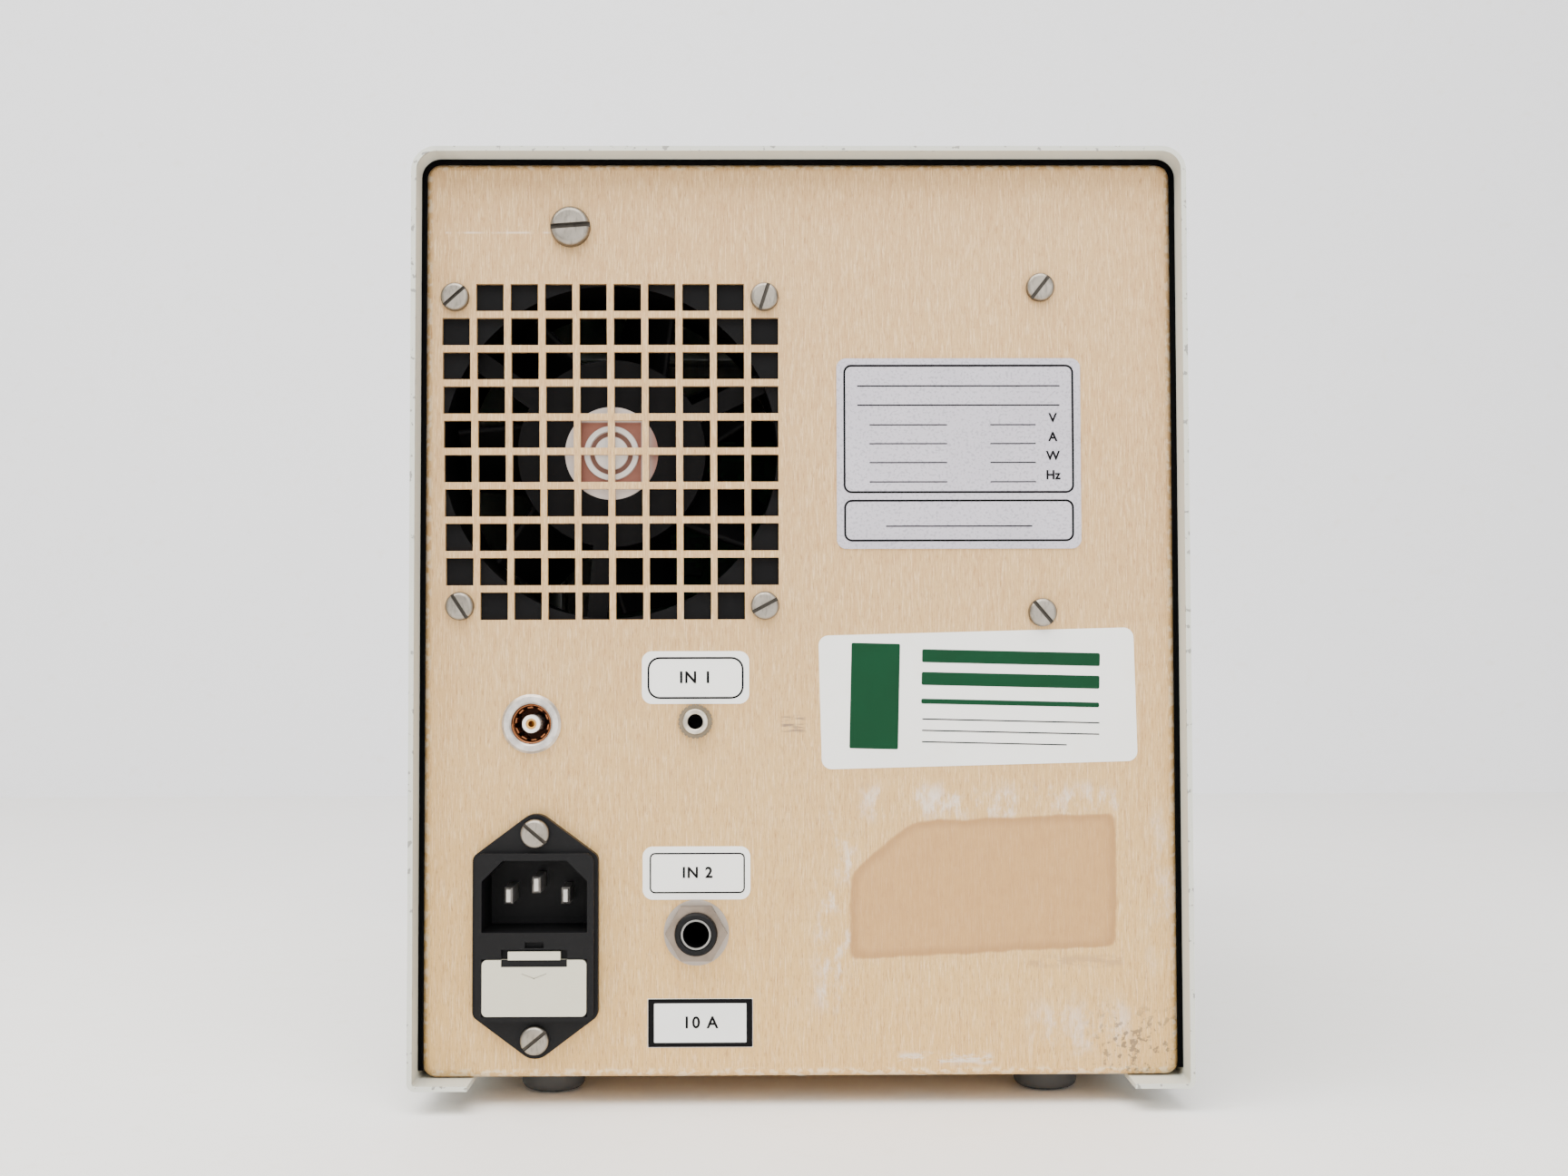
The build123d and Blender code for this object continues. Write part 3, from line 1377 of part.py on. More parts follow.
with BuildPart() as fuses:
    for side in (1, -1):
        with BuildSketch(upright(inlet_face_y - drawer_face - drawer_wall - hole_clearance)):
            with Locations((inlet_x + side * fuse_spacing / 2, drawer_z)):
                Circle(fuse_diameter / 2)
        extrude(amount=fuse_length)
save(fuses.part, "fuses")

inlet_screw_length = inlet_lug_thickness + panel_sheet + nut_height + nut_overrun
inlet_screw = slotted_screw(screw_head, screw_head_height, screw_shank, inlet_screw_length)
with BuildPart() as inlet_screws:
    for (x, z), turn in zip(inlet_screws_at, inlet_screw_slots):
        with Locations(along_y(x, inlet_lug_y, z, turn)):
            add(inlet_screw)
save(inlet_screws.part, "inlet_screws")

# Output socket: shell, insulator, centre contact and nut
with BuildPart() as output_socket:
    with BuildSketch(upright(rear_face_y + output_flange_height)):
        with Locations((output_x, output_z)):
            Circle(output_flange / 2)
    extrude(amount=output_flange_height)
    chamfer(output_socket.edges().group_by(Axis.Y)[-1], output_rim_bevel)
    with BuildSketch(upright(rear_face_y)):
        with Locations((output_x, output_z)):
            Circle(output_body / 2)
    extrude(amount=output_body_length)
    with BuildSketch(upright(rear_face_y + output_flange_height)):
        with Locations((output_x, output_z)):
            Circle(output_bore / 2)
    extrude(amount=output_depth, mode=Mode.SUBTRACT)
    flange_edges = output_socket.edges().group_by(Axis.Y)[-1]
    chamfer(flange_edges.sort_by(SortBy.RADIUS)[0], output_mouth_bevel)
    with BuildSketch(upright(rear_face_y)):
        with Locations((output_x, output_z)):
            Circle(output_insulator_diameter / 2 + thread_fit)
    extrude(amount=output_body_length, mode=Mode.SUBTRACT)
save(output_socket.part, "output_socket")

with BuildPart() as output_insulator:
    with BuildSketch(upright(rear_face_y + output_flange_height - output_insulator_setback)):
        with Locations((output_x, output_z)):
            Circle(output_insulator_diameter / 2)
            Circle(output_contact_diameter / 2 + thread_fit, mode=Mode.SUBTRACT)
    extrude(amount=output_body_length)
save(output_insulator.part, "output_insulator")

contact_front_y = rear_face_y + output_flange_height - output_contact_setback
with BuildPart() as output_contact:
    with BuildSketch(upright(contact_front_y)):
        with Locations((output_x, output_z)):
            Circle(output_contact_diameter / 2)
    extrude(amount=output_body_length + output_contact_tail)
    with BuildSketch(upright(contact_front_y)):
        with Locations((output_x, output_z)):
            Circle(output_contact_hole / 2)
    extrude(amount=output_contact_hole_depth, mode=Mode.SUBTRACT)
save(output_contact.part, "output_contact")

with BuildPart() as output_nut:
    with Locations(Location((output_x, rear_inner_y, output_z), (90, 0, 0))):
        add(hexagon_ring(output_flange, output_body + 2 * thread_fit, output_nut_height))
save(output_nut.part, "output_nut")

# Small jack with its knurled ring nut
small_jack_nose_y = rear_face_y + small_jack_ring_height + small_jack_stand_out
with BuildPart() as small_jack:
    with BuildSketch(upright(rear_inner_y)):
        with Locations((small_jack_x, small_jack_z)):
            Rectangle(small_jack_body, small_jack_body)
    extrude(amount=small_jack_length)
    with BuildSketch(upright(small_jack_nose_y)):
        with Locations((small_jack_x, small_jack_z)):
            Circle(small_jack_neck / 2)
    extrude(amount=small_jack_nose_y - rear_inner_y)
    with BuildSketch(upright(small_jack_nose_y)):
        with Locations((small_jack_x, small_jack_z)):
            Circle(small_jack_bore / 2)
    extrude(amount=small_jack_length, mode=Mode.SUBTRACT)
    fillet(small_jack.edges().group_by(Axis.Y)[-1], small_jack_mouth)
save(small_jack.part, "small_jack")

with BuildPart() as small_jack_nut:
    with BuildSketch(upright(rear_face_y + small_jack_ring_height)):
        with Locations((small_jack_x, small_jack_z)):
            Circle(small_jack_ring / 2)
            Circle(small_jack_neck / 2 + thread_fit, mode=Mode.SUBTRACT)
        for i in range(small_jack_knurls):
            angle = radians(i * 360 / small_jack_knurls)
            reach = small_jack_ring / 2
            with Locations((small_jack_x + reach * cos(angle), small_jack_z + reach * sin(angle))):
                Circle(small_jack_knurl / 2, mode=Mode.SUBTRACT)
    extrude(amount=small_jack_ring_height)
save(small_jack_nut.part, "small_jack_nut")

# Large jack with its washer and hexagonal nut
large_jack_nose_y = rear_face_y + large_jack_stand_out
with BuildPart() as large_jack:
    with BuildSketch(upright(rear_inner_y)):
        with Locations((large_jack_x, large_jack_z)):
            Rectangle(large_jack_body, large_jack_body)
    extrude(amount=large_jack_length)
    with BuildSketch(upright(large_jack_nose_y)):
        with Locations((large_jack_x, large_jack_z)):
            Circle(large_jack_neck / 2)
    extrude(amount=large_jack_stand_out + panel_sheet)
    fillet(large_jack.edges().group_by(Axis.Y)[-1], large_jack_rounding)
    with BuildSketch(upright(large_jack_nose_y)):
        with Locations((large_jack_x, large_jack_z)):
            Circle(large_jack_mouth / 2)
    extrude(amount=large_jack_mouth_depth, mode=Mode.SUBTRACT)
    with BuildSketch(upright(large_jack_nose_y)):
        with Locations((large_jack_x, large_jack_z)):
            Circle(large_jack_bore / 2)
    extrude(amount=large_jack_length, mode=Mode.SUBTRACT)
save(large_jack.part, "large_jack")

with BuildPart() as large_jack_washer_ring:
    with BuildSketch(upright(rear_face_y + large_jack_washer_height)):
        with Locations((large_jack_x, large_jack_z)):
            Circle(large_jack_washer / 2)
            Circle(large_jack_neck / 2 + thread_fit, mode=Mode.SUBTRACT)
    extrude(amount=large_jack_washer_height)
save(large_jack_washer_ring.part, "large_jack_washer")

with BuildPart() as large_jack_hex_nut:
    with Locations(z_to_rear(large_jack_x, rear_face_y + large_jack_washer_height, large_jack_z)):
        add(hexagon_ring(large_jack_nut, large_jack_neck + 2 * thread_fit, large_jack_nut_height))
save(large_jack_hex_nut.part, "large_jack_nut")

# Rating plate and adhesive labels on the rear face
with BuildPart() as rating_plate:
    with BuildSketch(upright(rear_face_y + plate_thickness)):
        with Locations((plate_x, plate_z)):
            RectangleRounded(plate_width, plate_height, plate_radius)
    extrude(amount=plate_thickness)
save(rating_plate.part, "rating_plate")

with BuildPart() as panel_labels:
    with BuildSketch(upright(rear_face_y + label_thickness)):
        with Locations((small_jack_x, small_label_z), (large_jack_x, large_label_z)):
            RectangleRounded(jack_label_width, jack_label_height, label_radius)
        with Locations((fuse_label_x, fuse_label_z)):
            Rectangle(fuse_label_width, fuse_label_height)
        with Locations((sticker_x, sticker_z)):
            RectangleRounded(sticker_width, sticker_height, label_radius, rotation=-sticker_tilt)
    extrude(amount=label_thickness)
save(panel_labels.part, "panel_labels")
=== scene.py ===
import json
from math import cos, pi, radians, sin

import bmesh
import bpy
from mathutils import Matrix, Vector
from mathutils.bvhtree import BVHTree


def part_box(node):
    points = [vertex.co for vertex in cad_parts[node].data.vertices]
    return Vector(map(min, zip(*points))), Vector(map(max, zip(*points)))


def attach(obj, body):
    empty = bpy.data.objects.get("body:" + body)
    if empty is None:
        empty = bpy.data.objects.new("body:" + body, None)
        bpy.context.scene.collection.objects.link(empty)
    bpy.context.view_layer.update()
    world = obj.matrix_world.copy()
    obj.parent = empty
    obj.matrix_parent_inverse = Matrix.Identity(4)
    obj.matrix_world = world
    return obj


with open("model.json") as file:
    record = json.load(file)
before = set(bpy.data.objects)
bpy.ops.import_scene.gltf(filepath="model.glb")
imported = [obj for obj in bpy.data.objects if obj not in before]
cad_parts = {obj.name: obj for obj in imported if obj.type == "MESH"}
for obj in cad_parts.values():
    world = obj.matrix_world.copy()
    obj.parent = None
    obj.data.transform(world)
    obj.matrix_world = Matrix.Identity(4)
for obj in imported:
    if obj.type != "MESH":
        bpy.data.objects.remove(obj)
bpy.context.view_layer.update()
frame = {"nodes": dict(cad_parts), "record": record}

MM = 0.001


def lows_highs(node):
    """Lowest and highest corners of a CAD node at rest."""
    low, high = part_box(node)
    return Vector(low), Vector(high)


cover_low, cover_high = lows_highs("cover")
panel_low, panel_high = lows_highs("rear_panel")
plate_low, plate_high = lows_highs("rating_plate")
cap_low, cap_high = lows_highs("fan_end_cap")
keypad_low, keypad_high = lows_highs("keypad_overlay")
REAR_RIM = cover_high.y
REAR_FACE = panel_high.y
FAN_CENTRE = Vector(((cap_low.x + cap_high.x) / 2, 0, (cap_low.z + cap_high.z) / 2))


# Shader building

class Socket:
    """A node socket with arithmetic: each operator adds a Math node."""

    def __init__(self, shader, link):
        self.shader = shader
        self.link = link

    def _math(self, operation, *values, clamp=False):
        return self.shader.node(
            "ShaderNodeMath", {"operation": operation, "use_clamp": clamp}, dict(enumerate(values))
        )

    def __add__(self, other):
        return self._math("ADD", self, other)

    def __radd__(self, other):
        return self._math("ADD", other, self)

    def __sub__(self, other):
        return self._math("SUBTRACT", self, other)

    def __rsub__(self, other):
        return self._math("SUBTRACT", other, self)

    def __mul__(self, other):
        return self._math("MULTIPLY", self, other)

    def __rmul__(self, other):
        return self._math("MULTIPLY", other, self)

    def clamped(self):
        return self._math("ADD", self, 0.0, clamp=True)

    def power(self, other):
        return self._math("POWER", self, other)

    def sine(self):
        return self._math("SINE", self)

    def smooth_least(self, other, rounding):
        return self._math("SMOOTH_MIN", self, other, rounding)


class Shader:
    """A material's node tree, ending in one Principled shader."""

    def __init__(self, name, **fixed):
        self.material = bpy.data.materials.new(name)
        self.material.use_nodes = True
        self.tree = self.material.node_tree
        self.principled = self.tree.nodes["Principled BSDF"]
        for socket, value in fixed.items():
            self.principled.inputs[socket.replace("_", " ")].default_value = value

    def node(self, kind, settings=None, values=None, output=0):
        """Add a node: its settings first, then its sockets' values or links."""
        made = self.tree.nodes.new(kind)
        for name, value in (settings or {}).items():
            if name == "stops":
                ramp = made.color_ramp
                while len(ramp.elements) < len(value):
                    ramp.elements.new(0.5)
                for element, (place, colour) in zip(ramp.elements, value):
                    element.position = place
                    element.color = (*colour, 1.0) if len(colour) == 3 else colour
            else:
                setattr(made, name, value)
        for name, value in (values or {}).items():
            socket = made.inputs[name]
            if isinstance(value, Socket):
                self.tree.links.new(value.link, socket)
            else:
                socket.default_value = value
        return Socket(self, made.outputs[output])

    def place(self):
        """Object coordinates, in metres of the shared frame."""
        return self.node("ShaderNodeTexCoord", output="Object")

    def split(self):
        """X, Y and Z of the object coordinates."""
        made = self.tree.nodes.new("ShaderNodeSeparateXYZ")
        self.tree.links.new(self.place().link, made.inputs[0])
        return [Socket(self, made.outputs[axis]) for axis in "XYZ"]

    def noise(self, scale, detail=2.0, roughness=0.5, stretch=(1, 1, 1), offset=(0, 0, 0)):
        """Noise over the object coordinates, stretched along an axis."""
        mapped = self.node(
            "ShaderNodeMapping", {}, {"Vector": self.place(), "Scale": stretch, "Location": offset}
        )
        values = {"Vector": mapped, "Scale": scale, "Detail": detail, "Roughness": roughness}
        return self.node("ShaderNodeTexNoise", {}, values)

    def band(self, value, low, high):
        """0 below low, 1 above high, smooth between."""
        return self.node(
            "ShaderNodeMapRange",
            {"interpolation_type": "SMOOTHSTEP"},
            {"Value": value, "From Min": low, "From Max": high, "To Min": 0.0, "To Max": 1.0},
        )

    def mix(self, factor, first, second):
        """Mix two colours."""
        made = self.tree.nodes.new("ShaderNodeMix")
        made.data_type = "RGBA"
        for slot, value in ((0, factor), (6, first), (7, second)):
            if isinstance(value, Socket):
                self.tree.links.new(value.link, made.inputs[slot])
            elif slot == 0:
                made.inputs[slot].default_value = value
            else:
                made.inputs[slot].default_value = (*value, 1.0)
        return Socket(self, made.outputs[2])

    def radius(self, centre):
        """Distance from a line along Y through a centre, in metres."""
        x, y, z = self.split()
        return ((x - centre.x).power(2) + (z - centre.z).power(2)).power(0.5)

    def within(self, value, low, high, soft):
        """1 between low and high, with soft edges."""
        return self.band(value, low - soft, low + soft) * (1 - self.band(value, high - soft, high + soft))

    def bump(self, height, distance=0.0002, strength=0.5):
        values = {"Height": height, "Distance": distance, "Strength": strength}
        return self.node("ShaderNodeBump", {}, values, output="Normal")

    def feed(self, **sockets):
        """Link sockets such as Base_Color and Roughness."""
        for name, value in sockets.items():
            self.tree.links.new(value.link, self.principled.inputs[name.replace("_", " ")])
        return self.material


def srgb(red, green, blue):
    """Linear colour of an 8-bit display colour."""
    shares = (red / 255, green / 255, blue / 255)
    return tuple(v / 12.92 if v <= 0.04045 else ((v + 0.055) / 1.055) ** 2.4 for v in shares)


# Materials

def cover_paint():
    shader = Shader("cover_paint", Metallic=0.0)
    x, y, z = shader.split()
    mottle = shader.noise(14, 4)
    grime = shader.noise(60, 5, stretch=(1, 0.35, 1))
    base = shader.mix(mottle, srgb(196, 197, 186), srgb(207, 208, 198))
    dirt = shader.band(grime, 0.62, 0.78) * 0.35
    colour = shader.mix(dirt, base, srgb(160, 156, 144))
    chips = shader.band(shader.noise(500, 4), 0.60, 0.63)
    edge = shader.band(y, REAR_RIM - 0.0012, REAR_RIM - 0.0002)
    colour = shader.mix(chips * edge * 0.8, colour, srgb(120, 118, 112))
    grain = shader.noise(2200, 2)
    return shader.feed(
        Base_Color=colour,
        Roughness=0.46 + 0.12 * mottle,
        Normal=shader.bump(grain, 0.00004, 0.35),
    )


RESIDUE = ((-12.4, 56.9), (-27.5, 69.3), (-77.6, 71.2), (-77.7, 38.5), (-11.9, 35.4))


def residue_depth(shader, x, z):
    """Depth inside the old label's outline, in metres, with rounded corners and an uneven edge."""
    depth = None
    for i, (x1, z1) in enumerate(RESIDUE):
        x2, z2 = RESIDUE[(i + 1) % len(RESIDUE)]
        along = Vector((x2 - x1, z2 - z1)).normalized()
        side = z * along.x - x * along.y + (x1 * along.y - z1 * along.x) * MM
        depth = side if depth is None else depth.smooth_least(side, 0.004)
    return depth + (shader.noise(160, 4) - 0.5) * 0.0016


def gold_panel():
    shader = Shader("gold_panel", Metallic=0.55)
    x, y, z = shader.split()
    streaks = shader.noise(60, 5, 0.7, stretch=(26, 26, 1.1))
    fine = shader.noise(220, 4, 0.7, stretch=(16, 16, 1.0), offset=(3, 1, 2))
    dashes = shader.noise(170, 3, 0.7, stretch=(24, 24, 2.0), offset=(9, 4, 2))
    broad = shader.noise(9, 3)
    base = shader.mix(broad, srgb(198, 158, 108), srgb(208, 172, 122))
    low = (1 - shader.band(z, 0.0, 0.17)) * 0.75
    base = shader.mix(low, base, srgb(220, 180, 110))
    colour = shader.mix(shader.band(streaks, 0.46, 0.72) * 0.35, base, srgb(176, 130, 84))
    colour = shader.mix(shader.band(fine, 0.50, 0.64) * 0.55, colour, srgb(240, 212, 168))
    colour = shader.mix(shader.band(dashes, 0.53, 0.66) * 0.55, colour, srgb(150, 108, 66))

    def inside(low_x, high_x, low_z, high_z, soft):
        return shader.within(x, low_x, high_x, soft) * shader.within(z, low_z, high_z, soft)

    depth = residue_depth(shader, x, z)
    residue = shader.band(depth, -0.0003, 0.0005)
    rim = residue * (1 - shader.band(depth, 0.0006, 0.0028))
    speckle = shader.noise(380, 4)
    residue_colour = shader.mix(speckle, srgb(190, 146, 92), srgb(170, 126, 76))
    colour = shader.mix(residue * 0.72, colour, residue_colour)
    colour = shader.mix(rim * 0.5, colour, srgb(158, 118, 72))
    smear_noise = shader.noise(70, 6, 0.75, stretch=(2.4, 1, 1.0))
    thread_noise = shader.noise(95, 5, 0.75, stretch=(0.9, 1, 3.2), offset=(2, 8, 1))
    smears = (
        inside(-0.079, -0.015, 0.0700, 0.0775, 0.0030)
        + inside(-0.0135, -0.0040, 0.0240, 0.0720, 0.0030)
        + inside(-0.082, -0.058, 0.0125, 0.0245, 0.0050) * 0.7
        + inside(-0.094, -0.086, 0.030, 0.072, 0.004) * 0.5
    ).clamped()
    faint = inside(-0.047, -0.024, 0.0100, 0.0125, 0.0010) * shader.band(thread_noise, 0.44, 0.56)
    smears = smears * shader.band(smear_noise, 0.47, 0.66) * (1 - residue)
    tan = inside(-0.079, -0.056, 0.0335, 0.0362, 0.0008) * shader.band(thread_noise, 0.42, 0.55)
    tan = tan * (1 - residue)
    colour = shader.mix(smears * 0.72, colour, srgb(232, 222, 214))
    colour = shader.mix(faint * 0.7, colour, srgb(226, 218, 212))
    colour = shader.mix(tan * 0.6, colour, srgb(178, 144, 104))
    scratch = shader.noise(420, 4, 0.6, stretch=(0.25, 1, 2.2), offset=(1, 5, 2))
    scuff = inside(-0.0010, 0.0045, 0.0912, 0.0950, 0.0008) * shader.band(scratch, 0.48, 0.58)
    colour = shader.mix(scuff * 0.8, colour, srgb(112, 96, 88))
    hairline = inside(0.056, 0.088, 0.2152, 0.2156, 0.0002) * shader.band(smear_noise, 0.40, 0.55)
    colour = shader.mix(hairline * 0.5, colour, srgb(240, 228, 210))
    corner_dirt = inside(-0.094, -0.072, 0.004, 0.022, 0.006) * shader.band(shader.noise(700, 4), 0.55, 0.63)
    colour = shader.mix(corner_dirt * 0.8, colour, srgb(118, 100, 80))
    rubbed = 1 - shader.within(x, -0.0912, 0.0912, 0.0006) * shader.within(z, 0.0090, 0.2312, 0.0006)
    rubbed = rubbed * shader.band(shader.noise(500, 4), 0.46, 0.6)
    colour = shader.mix(rubbed * 0.6, colour, srgb(236, 220, 190))
    flecks = shader.band(shader.noise(1500, 2, offset=(4, 2, 7)), 0.74, 0.77)
    colour = shader.mix(flecks * 0.6, colour, srgb(140, 118, 92))
    return shader.feed(
        Base_Color=colour,
        Roughness=(0.42 + 0.16 * streaks + 0.2 * residue + 0.15 * smears).clamped(),
        Metallic=0.50 - 0.3 * residue - 0.3 * smears,
        Normal=shader.bump(streaks * 0.6 + fine * 0.4, 0.00007, 0.4),
    )


def worn_metal(name, colour_low, colour_high, rough=0.34, metallic=0.9, scale=700):
    shader = Shader(name, Metallic=metallic)
    cloud = shader.noise(scale * 0.3, 4)
    grain = shader.noise(scale * 3, 3)
    colour = shader.mix(cloud, colour_low, colour_high)
    spots = shader.band(grain, 0.68, 0.74)
    colour = shader.mix(spots * 0.5, colour, tuple(c * 0.35 for c in colour_low))
    return shader.feed(
        Base_Color=colour,
        Roughness=rough + 0.25 * cloud,
        Normal=shader.bump(grain, 0.00003, 0.4),
    )


def plastic(name, low, high, rough=0.4, grain=0.00003, scale=1400, gloss=0.5):
    shader = Shader(name, Metallic=0.0, Specular_IOR_Level=gloss)
    cloud = shader.noise(scale * 0.05, 4)
    fine = shader.noise(scale, 3)
    colour = shader.mix(cloud, low, high)
    dust = shader.band(shader.noise(scale * 0.25, 5), 0.66, 0.78)
    colour = shader.mix(dust * 0.15, colour, tuple(min(1, c * 1.5 + 0.01) for c in high))
    return shader.feed(
        Base_Color=colour,
        Roughness=rough + 0.18 * cloud,
        Normal=shader.bump(fine, grain, 0.5),
    )


def windings(name, dark, light, axis, pitch):
    """Enamelled wire laid side by side, each turn painted lighter on its crest and darker in the groove
    between turns: painted highlight and painted shade.
    """
    shader = Shader(name, Metallic=0.6)
    coordinate = shader.split()[axis]
    wave = (coordinate * (2 * pi / pitch)).sine()
    colour = shader.mix(shader.band(wave, -0.8, 0.6), dark, light)
    return shader.feed(
        Base_Color=colour, Roughness=0.35 + 0.15 * shader.noise(300), Normal=shader.bump(wave, 0.0003, 0.7)
    )


def circuit_board():
    shader = Shader("circuit_board", Metallic=0.0)
    traces = shader.node(
        "ShaderNodeTexVoronoi", {"distance": "CHEBYCHEV"}, {"Vector": shader.place(), "Scale": 160.0}
    )
    colour = shader.mix(shader.band(traces, 0.35, 0.5), srgb(20, 84, 48), srgb(34, 112, 66))
    return shader.feed(
        Base_Color=colour,
        Roughness=0.35 + 0.2 * traces,
        Normal=shader.bump(traces, 0.0001, 0.4),
    )


def slotted_head(node, seat_y, low, high):
    """Bright turned screw head, painted dark in its slot and round its edge: painted shade."""
    shader = Shader(node + "_finish", Metallic=0.85)
    x, y, z = shader.split()
    top = lows_highs(node)[1].y
    lit_crown = shader.band(y, top - 0.55 * (top - seat_y), top - 0.10 * (top - seat_y))
    cloud = shader.noise(260, 5)
    turned = shader.noise(1500, 3, stretch=(1, 1, 0.3))
    colour = shader.mix(cloud, low, high)
    colour = shader.mix(shader.band(turned, 0.5, 0.7) * 0.35, colour, tuple(c * 0.5 for c in low))
    # Lower parts of the head, its slot and its sides, are painted near black: painted shade.
    colour = shader.mix(0.12 + 0.88 * lit_crown, srgb(34, 30, 26), colour)
    return shader.feed(
        Base_Color=colour,
        Roughness=0.30 + 0.2 * cloud,
        Normal=shader.bump(turned, 0.00004, 0.5),
    )


def end_disc(node):
    """Fan's end disc: bright rim with a painted highlight, red-brown field that is its copper tint deepened
    by painted reflection and shade, and pale rings about its centre.
    """
    shader = Shader(node + "_finish", Metallic=0.7)
    radius = shader.radius(FAN_CENTRE)
    x, y, z = shader.split()
    reflection_square = shader.within(x, FAN_CENTRE.x - 0.0075, FAN_CENTRE.x + 0.0082, 0.0003)
    reflection_square = reflection_square * shader.within(z, FAN_CENTRE.z - 0.0073, FAN_CENTRE.z + 0.0078, 0.0003)
    cloud = shader.noise(180, 4)
    bright = shader.mix(cloud, srgb(176, 164, 156), srgb(214, 204, 196))
    ruddy_tint_and_reflection = shader.mix(cloud, srgb(112, 70, 58), srgb(150, 100, 86))
    side = shader.band(x, FAN_CENTRE.x - 0.011, FAN_CENTRE.x - 0.0080)
    # The square field is painted red-brown as a painted reflection over the copper tint, and the left edge
    # is painted red-brown as painted shade.
    colour = shader.mix(reflection_square, bright, ruddy_tint_and_reflection)
    colour = shader.mix((1 - side) * 0.85, colour, ruddy_tint_and_reflection)
    rings = shader.within(radius, 0.0054, 0.0068, 0.0002) + (1 - shader.band(radius, 0.0040, 0.0044))
    colour = shader.mix(rings.clamped(), colour, shader.mix(cloud, srgb(190, 184, 178), srgb(224, 220, 214)))
    colour = shader.mix(shader.within(radius, 0.0043, 0.0053, 0.0001) * 0.8, colour, srgb(96, 70, 60))
    return shader.feed(
        Base_Color=colour,
        Roughness=0.32 + 0.2 * cloud,
        Normal=shader.bump(cloud, 0.00005, 0.3),
    )


def bored_metal(name, centre, bore, mouth_y, inner, low, high):
    """Metal socket whose bore is painted darker than its rim: painted shade inside the bore."""
    shader = Shader(name, Metallic=0.85)
    cloud = shader.noise(400, 4)
    x, y, z = shader.split()
    bore_shade_mask = 1 - shader.band(shader.radius(centre), bore, bore + 0.0002)
    bore_shade_mask = bore_shade_mask * (1 - shader.band(y, mouth_y - 0.0012, mouth_y))
    colour = shader.mix(shader.band(cloud, 0.35, 0.65), low, high)
    colour = shader.mix(bore_shade_mask, colour, inner)
    return shader.feed(
        Base_Color=colour,
        Roughness=0.28 + 0.25 * cloud,
        Normal=shader.bump(cloud, 0.00003, 0.4),
    )


def keypad():
    """Dark film whose raised keys are pale."""
    shader = Shader("keypad_film", Metallic=0.0)
    x, y, z = shader.split()
    grain = shader.noise(2600, 3)
    cloud = shader.noise(60, 4)
    raised = 1 - shader.band(y, keypad_low.y + 0.00015, keypad_low.y + 0.00035)
    colour = shader.mix(cloud, srgb(44, 50, 58), srgb(58, 64, 72))
    colour = shader.mix(raised, colour, shader.mix(cloud, srgb(188, 192, 188), srgb(204, 206, 202)))
    return shader.feed(
        Base_Color=colour,
        Roughness=0.48 + 0.12 * cloud,
        Normal=shader.bump(grain, 0.00005, 0.5),
    )


def laminations():
    shader = Shader("core_iron", Metallic=0.5)
    x, y, z = shader.split()
    wave = (y * (2 * pi / 0.001)).sine()
    colour = shader.mix(shader.band(wave, -1, 1), srgb(58, 56, 54), srgb(92, 88, 84))
    return shader.feed(
        Base_Color=colour,
        Roughness=0.5 + 0.1 * wave,
        Normal=shader.bump(wave, 0.0002, 0.5),
    )


def film(name, low, high, rough=0.42):
    shader = Shader(name, Metallic=0.0)
    cloud = shader.noise(40, 5)
    paper = shader.noise(900, 4)
    yellowing = shader.band(shader.noise(120, 4), 0.55, 0.8)
    colour = shader.mix(cloud, low, high)
    colour = shader.mix(yellowing * 0.15, colour, srgb(226, 216, 196))
    return shader.feed(
        Base_Color=colour,
        Roughness=rough + 0.12 * paper,
        Normal=shader.bump(paper, 0.00002, 0.4),
    )


def foil():
    shader = Shader("plate_silver", Metallic=0.35)
    speck = shader.noise(1600, 4)
    cloud = shader.noise(50, 4)
    colour = shader.mix(cloud, srgb(178, 174, 184), srgb(200, 196, 204))
    colour = shader.mix(shader.band(speck, 0.52, 0.64) * 0.5, colour, srgb(140, 136, 148))
    return shader.feed(
        Base_Color=colour,
        Roughness=0.45 + 0.15 * speck,
        Normal=shader.bump(speck, 0.00003, 0.4),
    )


def window_glass():
    shader = Shader("clear_window", Metallic=0.0, Transmission_Weight=0.85, IOR=1.49)
    smudge = shader.noise(60, 4)
    colour = shader.mix(smudge, (0.72, 0.80, 0.76), (0.80, 0.86, 0.82))
    return shader.feed(Roughness=0.04 + 0.1 * smudge, Base_Color=colour)


